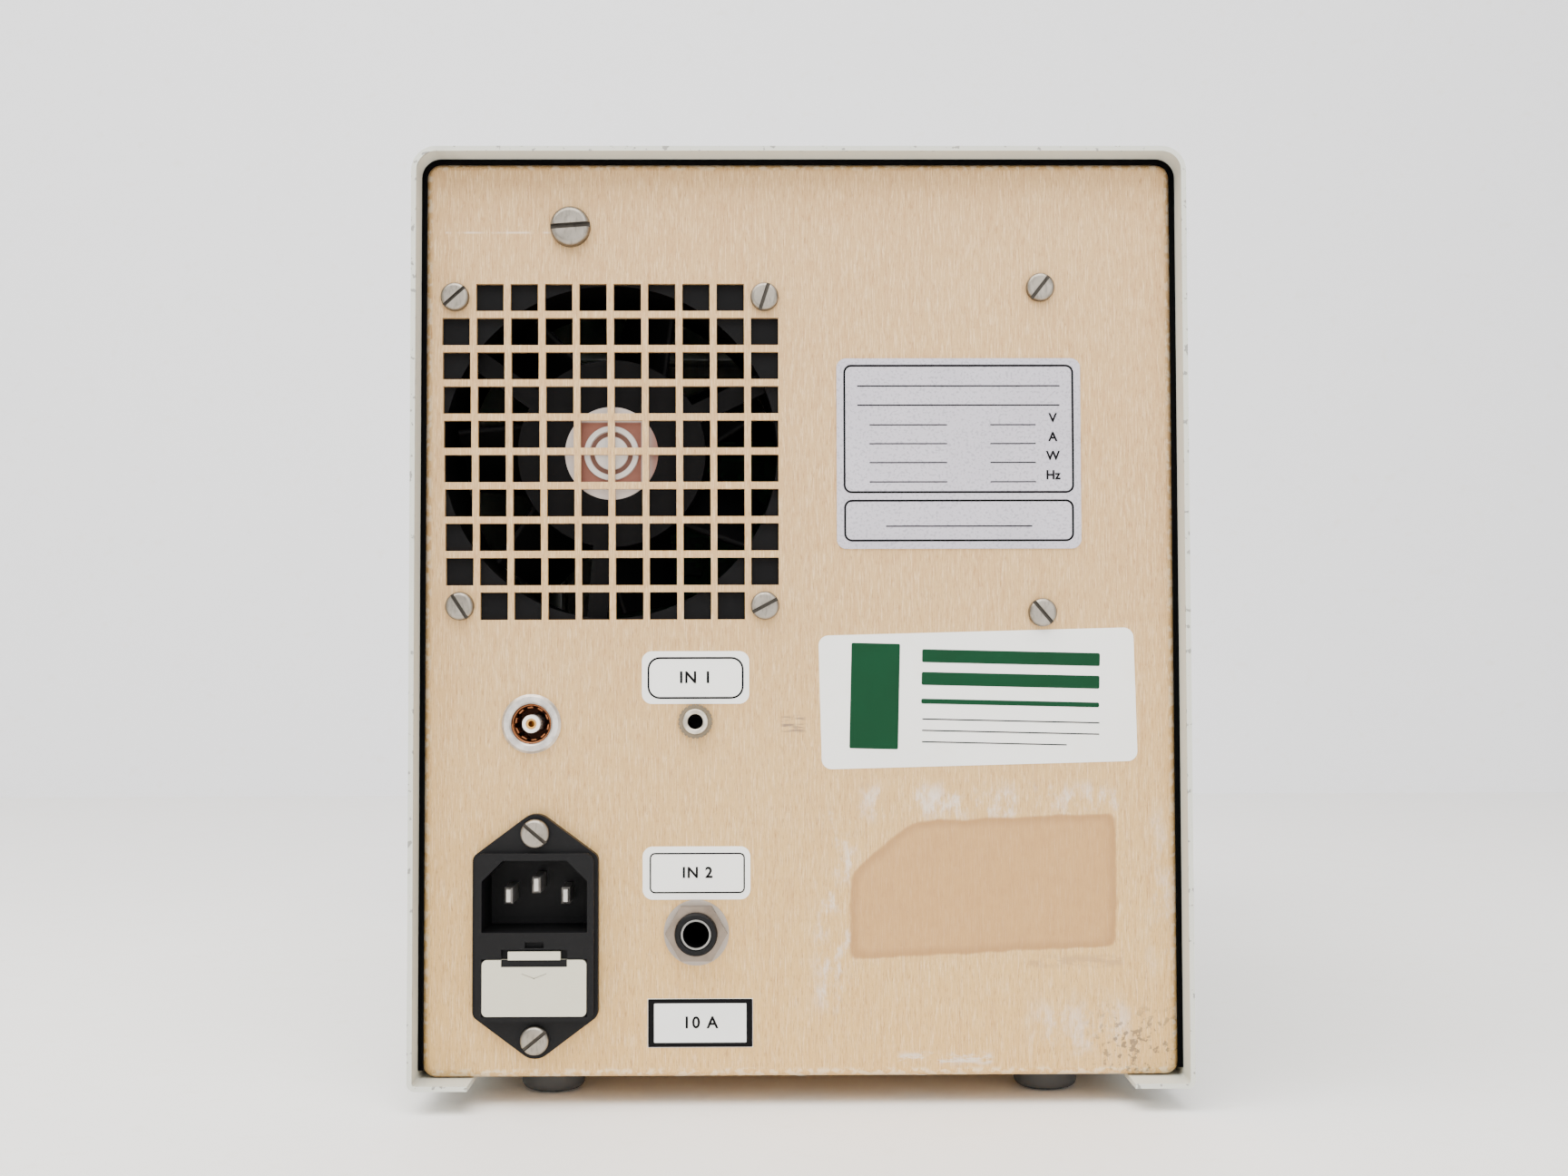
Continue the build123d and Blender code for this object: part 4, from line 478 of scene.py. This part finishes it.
finishes = {
    "cover_paint": cover_paint(),
    "gold_panel": gold_panel(),
    "front_paint": plastic("front_paint", srgb(196, 197, 186), srgb(207, 208, 198), 0.5, 0.00004, 2200),
    "zinc_steel": worn_metal("zinc_steel", srgb(150, 150, 146), srgb(192, 190, 184), 0.32),
    "nickel": worn_metal("nickel", srgb(176, 172, 166), srgb(206, 202, 196), 0.24, 0.95),
    "plain_aluminium": worn_metal("plain_aluminium", srgb(178, 178, 176), srgb(198, 198, 196), 0.4),
    "foot_rubber": plastic("foot_rubber", srgb(58, 60, 62), srgb(84, 86, 88), 0.7, 0.00008, 900),
    "black_plastic": plastic("black_plastic", srgb(2, 2, 3), srgb(8, 8, 10), 0.5, 0.00002, 1200, gloss=0.12),
    "black_matte": plastic("black_matte", srgb(4, 4, 5), srgb(12, 12, 14), 0.45, 0.00004, 2000, gloss=0.2),
    "beige_plastic": plastic("beige_plastic", srgb(196, 192, 172), srgb(206, 202, 184), 0.48, 0.00004, 1800),
    "white_insulator": plastic("white_insulator", srgb(232, 226, 214), srgb(244, 238, 228), 0.4),
    "brass": worn_metal("brass", srgb(196, 140, 66), srgb(226, 176, 96), 0.28),
    "winding_copper": windings("winding_copper", srgb(120, 56, 26), srgb(196, 108, 62), 2, 0.0012),
    "core_iron": laminations(),
    "circuit_board": circuit_board(),
    "label_white": film("label_white", srgb(232, 232, 228), srgb(244, 244, 240)),
    "plate_silver": foil(),
    "keypad_film": keypad(),
    "clear_window": window_glass(),
    "cap_copper": worn_metal("cap_copper", srgb(176, 128, 108), srgb(206, 160, 140), 0.3, 0.85),
}
ink_black = plastic("ink_black", srgb(2, 2, 3), srgb(8, 8, 10), 0.5, gloss=0.1)
ink_green = plastic("ink_green", srgb(0, 48, 24), srgb(0, 60, 34), 0.5, gloss=0.15)
ink_white = film("ink_white", srgb(226, 228, 226), srgb(240, 242, 240))

slot_of = {row["node"]: row["material_slot"] for row in frame["record"]["subparts"]}


def dress(node, material):
    """Give every slot of a CAD node one finish."""
    piece = frame["nodes"][node]
    piece = bpy.data.objects[piece] if isinstance(piece, str) else piece
    if not piece.material_slots:
        piece.data.materials.append(material)
    for slot in piece.material_slots:
        slot.material = material


def centre_of(node):
    low, high = lows_highs(node)
    return (low + high) / 2


for node, slot in slot_of.items():
    dress(node, finishes[slot])
inlet_lug_y = REAR_FACE + 0.003
for node, seat_y in (
    ("fan_screws", REAR_FACE),
    ("heatsink_screws", REAR_FACE),
    ("tie_bar_screw", REAR_FACE),
    ("inlet_screws", inlet_lug_y),
):
    dress(node, slotted_head(node, seat_y, srgb(112, 106, 96), srgb(178, 170, 158)))
dress("fan_end_cap", end_disc("fan_end_cap"))
output_centre = centre_of("output_socket")
small_centre = centre_of("small_jack")
large_centre = centre_of("large_jack")
output_mouth = lows_highs("output_socket")[1].y
small_mouth = lows_highs("small_jack")[1].y
# The bores are painted dark as painted shade: dark copper in the output socket, near black in the small
# jack.
bore_shade_copper = srgb(84, 52, 36)
dress("output_socket", bored_metal("output_shell", output_centre, 0.00500, output_mouth, bore_shade_copper,
                                   srgb(192, 186, 180), srgb(222, 216, 210)))
dress("small_jack", bored_metal("small_shell", small_centre, 0.00185, small_mouth + 0.0004, srgb(4, 4, 5),
                                srgb(176, 168, 152), srgb(214, 206, 190)))
dress("small_jack_nut", worn_metal("knurled_nickel", srgb(84, 74, 60), srgb(146, 132, 110), 0.38, 0.8))
dress("large_jack_washer", worn_metal("washer_nickel", srgb(150, 140, 130), srgb(192, 182, 172), 0.40, 0.8))
dress("large_jack_nut", worn_metal("hexagon_nickel", srgb(84, 72, 62), srgb(164, 150, 136), 0.22, 0.9))


# Pieces that lie on the panels

def rounded(width, height, radius, centre, turn=0.0, steps=6):
    """Loop of a rounded rectangle in X and Z, in metres from millimetres."""
    loop = []
    for corner, (i, j) in enumerate(((1, 1), (-1, 1), (-1, -1), (1, -1))):
        for step in range(steps + 1):
            angle = radians(90 * corner + 90 * step / steps)
            u = i * (width / 2 - radius) + radius * cos(angle)
            v = j * (height / 2 - radius) + radius * sin(angle)
            swing = radians(turn)
            loop.append((
                (centre[0] + u * cos(swing) - v * sin(swing)) * MM,
                (centre[1] + u * sin(swing) + v * cos(swing)) * MM,
            ))
    return loop


def circle(radius, centre, steps=48):
    """Loop of a circle in X and Z, in metres."""
    return [
        (centre.x + radius * cos(2 * pi * i / steps), centre.z + radius * sin(2 * pi * i / steps))
        for i in range(steps)
    ]


def finish_mesh(name, build, material, body):
    """Turn a bmesh into a piece that rides on a body."""
    bmesh.ops.remove_doubles(build, verts=build.verts, dist=1e-7)
    bmesh.ops.recalc_face_normals(build, faces=build.faces)
    mesh = bpy.data.meshes.new(name)
    build.to_mesh(mesh)
    build.free()
    mesh.materials.append(material)
    piece = bpy.data.objects.new(name, mesh)
    bpy.context.scene.collection.objects.link(piece)
    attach(piece, body)
    return piece


def add_prism(build, outer, inner, low_y, high_y):
    """Flat plate between two depths. With an inner loop of as many points it is a frame."""
    loops = (outer, inner or [])
    rows = [[build.verts.new((x, y, z)) for x, z in loop] for loop in loops for y in (low_y, high_y)]
    count = len(outer)
    for i in range(count):
        j = (i + 1) % count
        build.faces.new((rows[0][i], rows[0][j], rows[1][j], rows[1][i]))
        if inner:
            build.faces.new((rows[2][i], rows[2][j], rows[3][j], rows[3][i]))
            build.faces.new((rows[0][i], rows[0][j], rows[2][j], rows[2][i]))
            build.faces.new((rows[1][i], rows[1][j], rows[3][j], rows[3][i]))
    if not inner:
        build.faces.new(rows[0])
        build.faces.new(rows[1])


def plates(name, loops, low_y, high_y, material, body="chassis"):
    """One piece of several flat plates or frames: each item is an outer loop and an inner one or None."""
    build = bmesh.new()
    for outer, inner in loops:
        add_prism(build, outer, inner, low_y, high_y)
    return finish_mesh(name, build, material, body)


def frame_loops(width, height, radius, stroke, centre, turn=0.0):
    """Outer and inner loop of a ruled frame."""
    inner_radius = max(radius - stroke, 0.05)
    return (
        rounded(width, height, radius, centre, turn),
        rounded(width - 2 * stroke, height - 2 * stroke, inner_radius, centre, turn),
    )


def bar(x1, z1, x2, z2, width):
    """Loop of a straight stroke between two points, in millimetres."""
    along = Vector((x2 - x1, z2 - z1)).normalized() * width / 2
    side = Vector((-along.y, along.x))
    corners = ((x1, z1, -1, -1), (x2, z2, 1, -1), (x2, z2, 1, 1), (x1, z1, -1, 1))
    return [
        ((x + i * along.x + j * side.x) * MM, (z + i * along.y + j * side.y) * MM) for x, z, i, j in corners
    ], None


def lettering(name, items, y, material, towards, body="chassis", spread=1.0, depth=0.00003, weight=0.025):
    """Figures and short words on a panel. Each item is (words, x, z, height, turn), in millimetres."""
    build = bmesh.new()
    for words, x, z, height, turn in items:
        curve = bpy.data.curves.new(name + "_curve", "FONT")
        curve.body = words
        curve.align_x = "CENTER"
        curve.align_y = "CENTER"
        curve.size = height * 1.37 * MM
        curve.extrude = depth
        curve.offset = weight * height * 1.4 * MM
        curve.resolution_u = 3
        curve.space_character = spread
        typed = bpy.data.objects.new(name + "_curve", curve)
        bpy.context.scene.collection.objects.link(typed)
        graph = bpy.context.evaluated_depsgraph_get()
        flat = bpy.data.meshes.new_from_object(typed.evaluated_get(graph))
        turned = Matrix(((-towards, 0, 0, x * MM), (0, 0, towards, y), (0, 1, 0, z * MM), (0, 0, 0, 1)))
        flat.transform(turned @ Matrix.Rotation(radians(turn), 4, "Z"))
        build.from_mesh(flat)
        bpy.data.objects.remove(typed)
        bpy.data.curves.remove(curve)
        bpy.data.meshes.remove(flat)
    return finish_mesh(name, build, material, body)


LABEL_TOP = lows_highs("panel_labels")[1].y
PLATE_TOP = plate_high.y
INK_DEPTH = 0.00006
small_label = (25.8, 104.6)
large_label = (25.4, 56.7)
plates(
    "jack_label_frames",
    [frame_loops(23.7, 10.3, 3.0, 0.46, small_label), frame_loops(23.4, 9.9, 1.3, 0.36, large_label)],
    LABEL_TOP, LABEL_TOP + INK_DEPTH, ink_black,
)
lettering(
    "jack_label_figures",
    [("IN 1", *small_label, 2.9, 0), ("IN 2", *large_label, 2.7, 0)],
    LABEL_TOP + INK_DEPTH, ink_black, 1, spread=1.15,
)
fuse_label = (24.7, 20.15)
field = rounded(25.6, 11.7, 0.2, fuse_label)
paper = rounded(22.6, 9.5, 0.2, fuse_label)
plates("fuse_label_field", [(field, None)], LABEL_TOP, LABEL_TOP + 0.00005, ink_black)
plates("fuse_label_paper", [(paper, None)], LABEL_TOP, LABEL_TOP + 0.0001, ink_white)
lettering(
    "fuse_label_figures", [("10 A", *fuse_label, 2.9, 0)], LABEL_TOP + 0.00012, ink_black, 1, spread=1.15
)

plate_x = (plate_low.x + plate_high.x) / 2 / MM
plate_rows = [178.2, 173.4, 168.6, 163.9, 159.2, 154.4]
ruled = [
    frame_loops(57.2, 32.0, 2.0, 0.5, (plate_x, 166.2)),
    frame_loops(57.0, 10.4, 2.0, 0.5, (plate_x, 143.4)),
]
for row, z in enumerate(plate_rows):
    if row < 2:
        ruled.append(bar(plate_x + 25, z - 1.3, plate_x - 25, z - 1.3, 0.3))
    else:
        ruled.append(bar(plate_x + 22, z - 1.4, plate_x + 3, z - 1.4, 0.28))
        ruled.append(bar(plate_x - 8, z - 1.4, plate_x - 19, z - 1.4, 0.28))
ruled.append(bar(plate_x + 18, 142.0, plate_x - 18, 142.0, 0.3))
plates("rating_plate_rules", ruled, PLATE_TOP, PLATE_TOP + INK_DEPTH, ink_black)
units = [("V", 168.8), ("A", 164.1), ("W", 159.4), ("Hz", 154.6)]
lettering(
    "rating_plate_units",
    [(unit, plate_x - 23.4, z, 2.3, 0) for unit, z in units],
    PLATE_TOP + INK_DEPTH, ink_black, 1,
)

STICKER = (-43.9, 99.4)
STICKER_TURN = 1.4


def on_sticker(u, v):
    """Point of the tilted sticker, from its centre, in millimetres of the panel."""
    swing = radians(STICKER_TURN)
    return (STICKER[0] + u * cos(swing) - v * sin(swing), STICKER[1] + u * sin(swing) + v * cos(swing))


green = [
    (rounded(width, height, 0.4, on_sticker(u, v), STICKER_TURN), None)
    for u, v, width, height in (
        (25.5, 0.0, 12.0, 26.0),
        (-8.0, 10.2, 44.0, 3.2),
        (-8.0, 4.6, 44.0, 3.2),
        (-8.0, -1.0, 44.0, 1.2),
    )
]
plates("sticker_bands", green, LABEL_TOP, LABEL_TOP + INK_DEPTH, ink_green)
lines = [
    bar(*on_sticker(13.5, v), *on_sticker(end, v), 0.28)
    for v, end in ((-5.4, -30.0), (-8.2, -30.0), (-11.0, -22.0))
]
plates("sticker_lines", lines, LABEL_TOP, LABEL_TOP + INK_DEPTH, ink_black)

drawer_front = lows_highs("fuse_drawer")[1].y
mark_x = (lows_highs("fuse_drawer")[0].x + lows_highs("fuse_drawer")[1].x) / 2 / MM
# The chevron is painted darker beige to stand for the shade in its engraved groove: painted shade.
beige_shade = plastic("beige_shade", srgb(150, 146, 128), srgb(164, 160, 142), 0.5)
plates(
    "drawer_mark",
    [bar(mark_x - 2.9, 33.1, mark_x, 32.0, 0.25), bar(mark_x, 32.0, mark_x + 2.9, 33.1, 0.25)],
    drawer_front - 0.00002, drawer_front + 0.00003, beige_shade, "fuse_tray",
)

latch_low = drawer_front - 0.00128
latch_top = 36.4
plates(
    "latch_shadow", [(rounded(15.9, 1.6, 0.1, (mark_x, latch_top - 0.85)), None)],
    latch_low, latch_low + 0.0009, finishes["black_matte"], "fuse_tray",
)

# Dark mask behind the top of the window
window_box = lows_highs("display_window")
plates(
    "window_mask",
    [(rounded(80.0, 9.0, 0.5, (0.0, window_box[1].z / MM - 2.5)), None)],
    window_box[1].y + 0.0002, window_box[1].y + 0.0008, finishes["black_matte"],
)

# Black strip in the gap between the cover and the panel's edge: painted shade where the gap is dark.
seal_black = plastic("seal_black", srgb(2, 2, 2), srgb(6, 6, 7), 0.8, 0.00008, 900, gloss=0.05)
GAP_SHADE_WIDTH = 1.2
gap_shade_outer_x = cover_high.x / MM - 1.25
gap_shade_top = cover_high.z / MM - 1.25
gap_shade_foot = panel_low.z / MM + 2.0


def seal_path(inset):
    """Half-round path up one side, over the top and down the other."""
    radius = 4.8 - inset
    x = gap_shade_outer_x - inset
    z = gap_shade_top - inset
    path = [(x, gap_shade_foot)]
    for step in range(9):
        angle = pi / 16 * step
        path.append((x - radius + radius * cos(angle), z - radius + radius * sin(angle)))
    path += [(-u, v) for u, v in reversed(path)]
    return [(u * MM, v * MM) for u, v in path]


build = bmesh.new()
outer, inner = seal_path(0.0), seal_path(GAP_SHADE_WIDTH)
for i in range(len(outer) - 1):
    corners = [outer[i], outer[i + 1], inner[i + 1], inner[i]]
    low = [build.verts.new((x, REAR_FACE - 0.0012, z)) for x, z in corners]
    high = [build.verts.new((x, REAR_FACE + 0.0002, z)) for x, z in corners]
    build.faces.new(low)
    build.faces.new(high)
    for first, second in ((0, 1), (2, 3)):
        build.faces.new((low[first], low[second], high[second], high[first]))
    for first, second in ((3, 0), (1, 2)):
        if (i == 0 and first == 3) or (i == len(outer) - 2 and first == 1):
            build.faces.new((low[first], low[second], high[second], high[first]))
finish_mesh("cover_seal", build, seal_black, "chassis")


# Repeated pieces

def ring_tree():
    """Bars set evenly round a centre in the plane of X and Z."""
    tree = bpy.data.node_groups.new("ring_of_bars", "GeometryNodeTree")
    face = tree.interface
    face.new_socket("Geometry", in_out="OUTPUT", socket_type="NodeSocketGeometry")
    for label, kind in (
        ("Count", "NodeSocketInt"),
        ("Radius", "NodeSocketFloat"),
        ("Start", "NodeSocketFloat"),
        ("Step", "NodeSocketFloat"),
        ("Bar Size", "NodeSocketVector"),
        ("Centre", "NodeSocketVector"),
        ("Finish", "NodeSocketMaterial"),
    ):
        face.new_socket(label, in_out="INPUT", socket_type=kind)
    nodes, links = tree.nodes, tree.links
    given = nodes.new("NodeGroupInput").outputs
    out = nodes.new("NodeGroupOutput")

    def maths(operation, first, second=None):
        node = nodes.new("ShaderNodeMath")
        node.operation = operation
        for place, value in ((0, first), (1, second)):
            if value is not None:
                links.new(value, node.inputs[place])
        return node.outputs[0]

    points = nodes.new("GeometryNodePoints")
    links.new(given["Count"], points.inputs["Count"])
    index = nodes.new("GeometryNodeInputIndex").outputs[0]
    angle = maths("ADD", maths("MULTIPLY", index, given["Step"]), given["Start"])
    place = nodes.new("ShaderNodeCombineXYZ")
    links.new(maths("MULTIPLY", maths("COSINE", angle), given["Radius"]), place.inputs[0])
    links.new(maths("MULTIPLY", maths("SINE", angle), given["Radius"]), place.inputs[2])
    moved = nodes.new("ShaderNodeVectorMath")
    links.new(place.outputs[0], moved.inputs[0])
    links.new(given["Centre"], moved.inputs[1])
    links.new(moved.outputs[0], points.inputs["Position"])
    turn = nodes.new("ShaderNodeCombineXYZ")
    backwards = nodes.new("ShaderNodeMath")
    backwards.operation = "MULTIPLY"
    backwards.inputs[1].default_value = -1.0
    links.new(angle, backwards.inputs[0])
    links.new(backwards.outputs[0], turn.inputs[1])
    piece = nodes.new("GeometryNodeMeshCube")
    links.new(given["Bar Size"], piece.inputs["Size"])
    instances = nodes.new("GeometryNodeInstanceOnPoints")
    links.new(points.outputs[0], instances.inputs["Points"])
    links.new(piece.outputs["Mesh"], instances.inputs["Instance"])
    links.new(turn.outputs[0], instances.inputs["Rotation"])
    real = nodes.new("GeometryNodeRealizeInstances")
    links.new(instances.outputs[0], real.inputs[0])
    paint = nodes.new("GeometryNodeSetMaterial")
    links.new(real.outputs[0], paint.inputs["Geometry"])
    links.new(given["Finish"], paint.inputs["Material"])
    links.new(paint.outputs[0], out.inputs[0])
    return tree


def coil_tree():
    """Round wire wound along Y: a screw thread's crest or a spring."""
    tree = bpy.data.node_groups.new("wound_crest", "GeometryNodeTree")
    face = tree.interface
    face.new_socket("Geometry", in_out="OUTPUT", socket_type="NodeSocketGeometry")
    for label, kind in (
        ("Turns", "NodeSocketFloat"),
        ("Radius", "NodeSocketFloat"),
        ("Length", "NodeSocketFloat"),
        ("Wire", "NodeSocketFloat"),
        ("Start", "NodeSocketVector"),
        ("Finish", "NodeSocketMaterial"),
    ):
        face.new_socket(label, in_out="INPUT", socket_type=kind)
    nodes, links = tree.nodes, tree.links
    given = nodes.new("NodeGroupInput").outputs
    out = nodes.new("NodeGroupOutput")
    spiral = nodes.new("GeometryNodeCurveSpiral")
    spiral.inputs["Resolution"].default_value = 40
    links.new(given["Turns"], spiral.inputs["Rotations"])
    links.new(given["Radius"], spiral.inputs["Start Radius"])
    links.new(given["Radius"], spiral.inputs["End Radius"])
    links.new(given["Length"], spiral.inputs["Height"])
    section = nodes.new("GeometryNodeCurvePrimitiveCircle")
    section.inputs["Resolution"].default_value = 6
    links.new(given["Wire"], section.inputs["Radius"])
    swept = nodes.new("GeometryNodeCurveToMesh")
    swept.inputs["Fill Caps"].default_value = True
    links.new(spiral.outputs[0], swept.inputs["Curve"])
    links.new(section.outputs[0], swept.inputs["Profile Curve"])
    laid = nodes.new("GeometryNodeTransform")
    laid.inputs["Rotation"].default_value = (radians(90), 0, 0)
    links.new(swept.outputs[0], laid.inputs["Geometry"])
    links.new(given["Start"], laid.inputs["Translation"])
    real = nodes.new("GeometryNodeRealizeInstances")
    links.new(laid.outputs[0], real.inputs[0])
    paint = nodes.new("GeometryNodeSetMaterial")
    links.new(real.outputs[0], paint.inputs["Geometry"])
    links.new(given["Finish"], paint.inputs["Material"])
    links.new(paint.outputs[0], out.inputs[0])
    return tree


def grown(name, tree, body="chassis", slot=None, **values):
    """Run a node tree with the given inputs and keep its result as a plain mesh."""
    seed = bpy.data.objects.new(name + "_seed", bpy.data.meshes.new(name + "_seed"))
    bpy.context.scene.collection.objects.link(seed)
    modifier = seed.modifiers.new("shape", "NODES")
    modifier.node_group = tree
    for socket in tree.interface.items_tree:
        key = socket.name.replace(" ", "_")
        if socket.in_out == "INPUT" and key in values:
            modifier[socket.identifier] = values[key]
    graph = bpy.context.evaluated_depsgraph_get()
    mesh = bpy.data.meshes.new_from_object(seed.evaluated_get(graph))
    mesh.name = name
    seed.modifiers.remove(modifier)
    bpy.data.objects.remove(seed)
    piece = bpy.data.objects.new(name, mesh)
    bpy.context.scene.collection.objects.link(piece)
    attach(piece, body)
    return piece


ring_of_bars = ring_tree()
wound_crest = coil_tree()
contact_copper = worn_metal("contact_copper", srgb(128, 74, 44), srgb(196, 128, 84), 0.22, 0.95)
grown(
    "output_thread", wound_crest, Turns=5.0, Radius=0.00470, Length=0.0050, Wire=0.00022,
    Start=(output_centre.x, output_mouth - 0.0008, output_centre.z), Finish=contact_copper,
)
grown(
    "output_fingers", ring_of_bars, Count=10, Radius=0.0040, Start=0.2, Step=2 * pi / 10,
    Bar_Size=(0.0003, 0.0080, 0.0013), Centre=(output_centre.x, output_mouth - 0.0065, output_centre.z),
    Finish=contact_copper,
)
large_nose = lows_highs("large_jack")[1].y
jack_ring = worn_metal("jack_ring", srgb(120, 120, 118), srgb(170, 168, 164), 0.2, 0.95)
plates(
    "large_jack_ring", [(circle(0.00365, large_centre), circle(0.00322, large_centre))],
    large_nose - 0.0010, large_nose - 0.0007, jack_ring,
)

# Front panel: figures, marks and the dial
KEY_PITCH_X = 30.0
KEY_PITCH_Z = 19.0
KEYS_Z = 122.0
WINDOW_Z = 196.0
DIAL_FIGURES = 22.8
keys_face = keypad_low.y
film_face = keypad_low.y + 0.0005
legends = ["1", "2", "3", "+", "4", "5", "6", "-", "7", "8", "9", "C", "0", ".", "ON", "OFF"]
key_marks = []
for place, words in enumerate(legends):
    column, row = place % 4, place // 4
    key_marks.append((words, (column - 1.5) * KEY_PITCH_X, KEYS_Z + (1.5 - row) * KEY_PITCH_Z, 4.2, 0))
lettering("key_figures", key_marks, keys_face - 0.00003, ink_black, -1)
key_frames = [
    frame_loops(
        23.6, 14.6, 2.8, 0.35, ((column - 1.5) * KEY_PITCH_X, KEYS_Z + (row - 1.5) * KEY_PITCH_Z)
    )
    for column in range(4)
    for row in range(4)
]
key_frames.append(frame_loops(78.0, 32.0, 2.5, 0.5, (0.0, WINDOW_Z)))
key_frames.append(frame_loops(160.0, 156.0, 3.5, 0.5, (0.0, 144.0)))
plates("keypad_frames", key_frames, film_face - 0.00006, film_face, ink_white)
display_face = lows_highs("display_module")[0].y
digit_glow = film("digit_glow", srgb(150, 220, 120), srgb(176, 236, 150), 0.5)
display_words = [("00:00   100", 0.0, WINDOW_Z, 7.0, 0)]
lettering("display_figures", display_words, display_face - 0.00005, digit_glow, -1, spread=1.1)

knob_centre = centre_of("amplitude_knob")
FRONT_FACE = keypad_high.y
grown(
    "dial_marks", ring_of_bars, Count=11, Radius=0.0185, Start=radians(240), Step=-radians(30),
    Bar_Size=(0.0030, 0.0001, 0.0006), Centre=(knob_centre.x, FRONT_FACE, knob_centre.z), Finish=ink_black,
)
dial = []
for number in range(11):
    angle = radians(240 - 30 * number)
    across = knob_centre.x / MM + DIAL_FIGURES * cos(angle)
    up = knob_centre.z / MM + DIAL_FIGURES * sin(angle)
    dial.append((str(number), across, up, 2.8, 0))
lettering("dial_figures", dial, FRONT_FACE - 0.00005, ink_black, -1)


def surface_y(node, x, z):
    """Depth at which a line from the front meets a CAD node."""
    mesh = frame["nodes"][node].data
    net = BVHTree.FromPolygons([v.co for v in mesh.vertices], [p.vertices for p in mesh.polygons])
    found = net.ray_cast(Vector((x, -1, z)), Vector((0, 1, 0)))[0]
    return found.y


knob_face = lows_highs("amplitude_knob")[0].y
plates(
    "knob_line", [(rounded(1.4, 9.6, 0.3, (knob_centre.x / MM, knob_centre.z / MM + 9.0)), None)],
    knob_face + 0.0003, knob_face + 0.0009, ink_white, "knob",
)
rocker_centre = centre_of("power_rocker")
for name, words, shift in (("rocker_on_mark", "I", 0.0075), ("rocker_off_mark", "O", -0.0075)):
    mark_z = rocker_centre.z + shift
    depth = surface_y("power_rocker", rocker_centre.x, mark_z)
    lettering(
        name, [(words, rocker_centre.x / MM, mark_z / MM, 4.0, 0)], depth - 0.0002, ink_white, -1, "rocker",
        depth=0.0003,
    )


# Camera and light: the photograph looks at the rear panel

CAMERA = Vector((8.0, 619.6, 109.3)) * MM
CAMERA_TILT_UP = 2.185
CAMERA_TURN = -0.51
CAMERA_ROLL = -0.14
FOCAL_PIXELS = 2040.0
PHOTO_WIDTH = 1728.0

camera_data = bpy.data.cameras.new("photo_camera")
camera_data.sensor_width = 36.0
camera_data.lens = FOCAL_PIXELS / PHOTO_WIDTH * camera_data.sensor_width
camera = bpy.data.objects.new("photo_camera", camera_data)
bpy.context.scene.collection.objects.link(camera)
camera.matrix_world = (
    Matrix.Translation(CAMERA)
    @ Matrix.Rotation(radians(180 + CAMERA_TURN), 4, "Z")
    @ Matrix.Rotation(radians(90 + CAMERA_TILT_UP), 4, "X")
    @ Matrix.Rotation(radians(CAMERA_ROLL), 4, "Z")
)
bpy.context.scene.camera = camera


def area_light(name, place, target, size, energy, colour=(1, 1, 1)):
    data = bpy.data.lights.new(name, "AREA")
    data.shape = "RECTANGLE"
    data.size, data.size_y = size
    data.energy = energy
    data.color = colour
    light = bpy.data.objects.new(name, data)
    bpy.context.scene.collection.objects.link(light)
    aim = (Vector(target) - Vector(place)).to_track_quat("-Z", "Y")
    light.matrix_world = Matrix.Translation(place) @ aim.to_matrix().to_4x4()


OVERHEAD_WATTS = 52.0
CAMERA_SIDE_WATTS = 9.5
area_light("overhead", (0.25, 0.75, 1.35), (0, 0.1, 0.1), (1.8, 1.2), OVERHEAD_WATTS, (1.0, 0.985, 0.955))
area_light(
    "from_camera", (-0.35, 1.6, 0.60), (0, 0.17, 0.12), (1.4, 1.0), CAMERA_SIDE_WATTS, (1.0, 0.99, 0.97)
)
area_light("front_fill", (-0.5, -1.3, 0.9), (0, 0, 0.1), (1.6, 1.2), 12.0)
world = bpy.data.worlds.new("studio")
bpy.context.scene.world = world
world.use_nodes = True
world.node_tree.nodes["Background"].inputs[0].default_value = (0.86, 0.88, 0.92, 1.0)
world.node_tree.nodes["Background"].inputs[1].default_value = 0.75


def stage_piece(name, corners, material):
    mesh = bpy.data.meshes.new(name)
    mesh.from_pydata(corners, [], [tuple(range(len(corners)))])
    mesh.materials.append(material)
    piece = bpy.data.objects.new(name, mesh)
    bpy.context.scene.collection.objects.link(piece)


floor_white = film("floor_white", srgb(250, 247, 243), srgb(254, 252, 249), 0.5)
wall_grey = film("wall_grey", srgb(246, 247, 250), srgb(251, 251, 253), 0.7)
WALL_Y = -0.877
BENCH_Z = -0.0004
STAGE_REACH = 3
wall_foot = [(-STAGE_REACH, WALL_Y, BENCH_Z), (STAGE_REACH, WALL_Y, BENCH_Z)]
bench_edge = [(STAGE_REACH, STAGE_REACH, BENCH_Z), (-STAGE_REACH, STAGE_REACH, BENCH_Z)]
wall_head = [(STAGE_REACH, WALL_Y, STAGE_REACH), (-STAGE_REACH, WALL_Y, STAGE_REACH)]
stage_piece("bench", wall_foot + bench_edge, floor_white)
stage_piece("wall", wall_foot + wall_head, wall_grey)
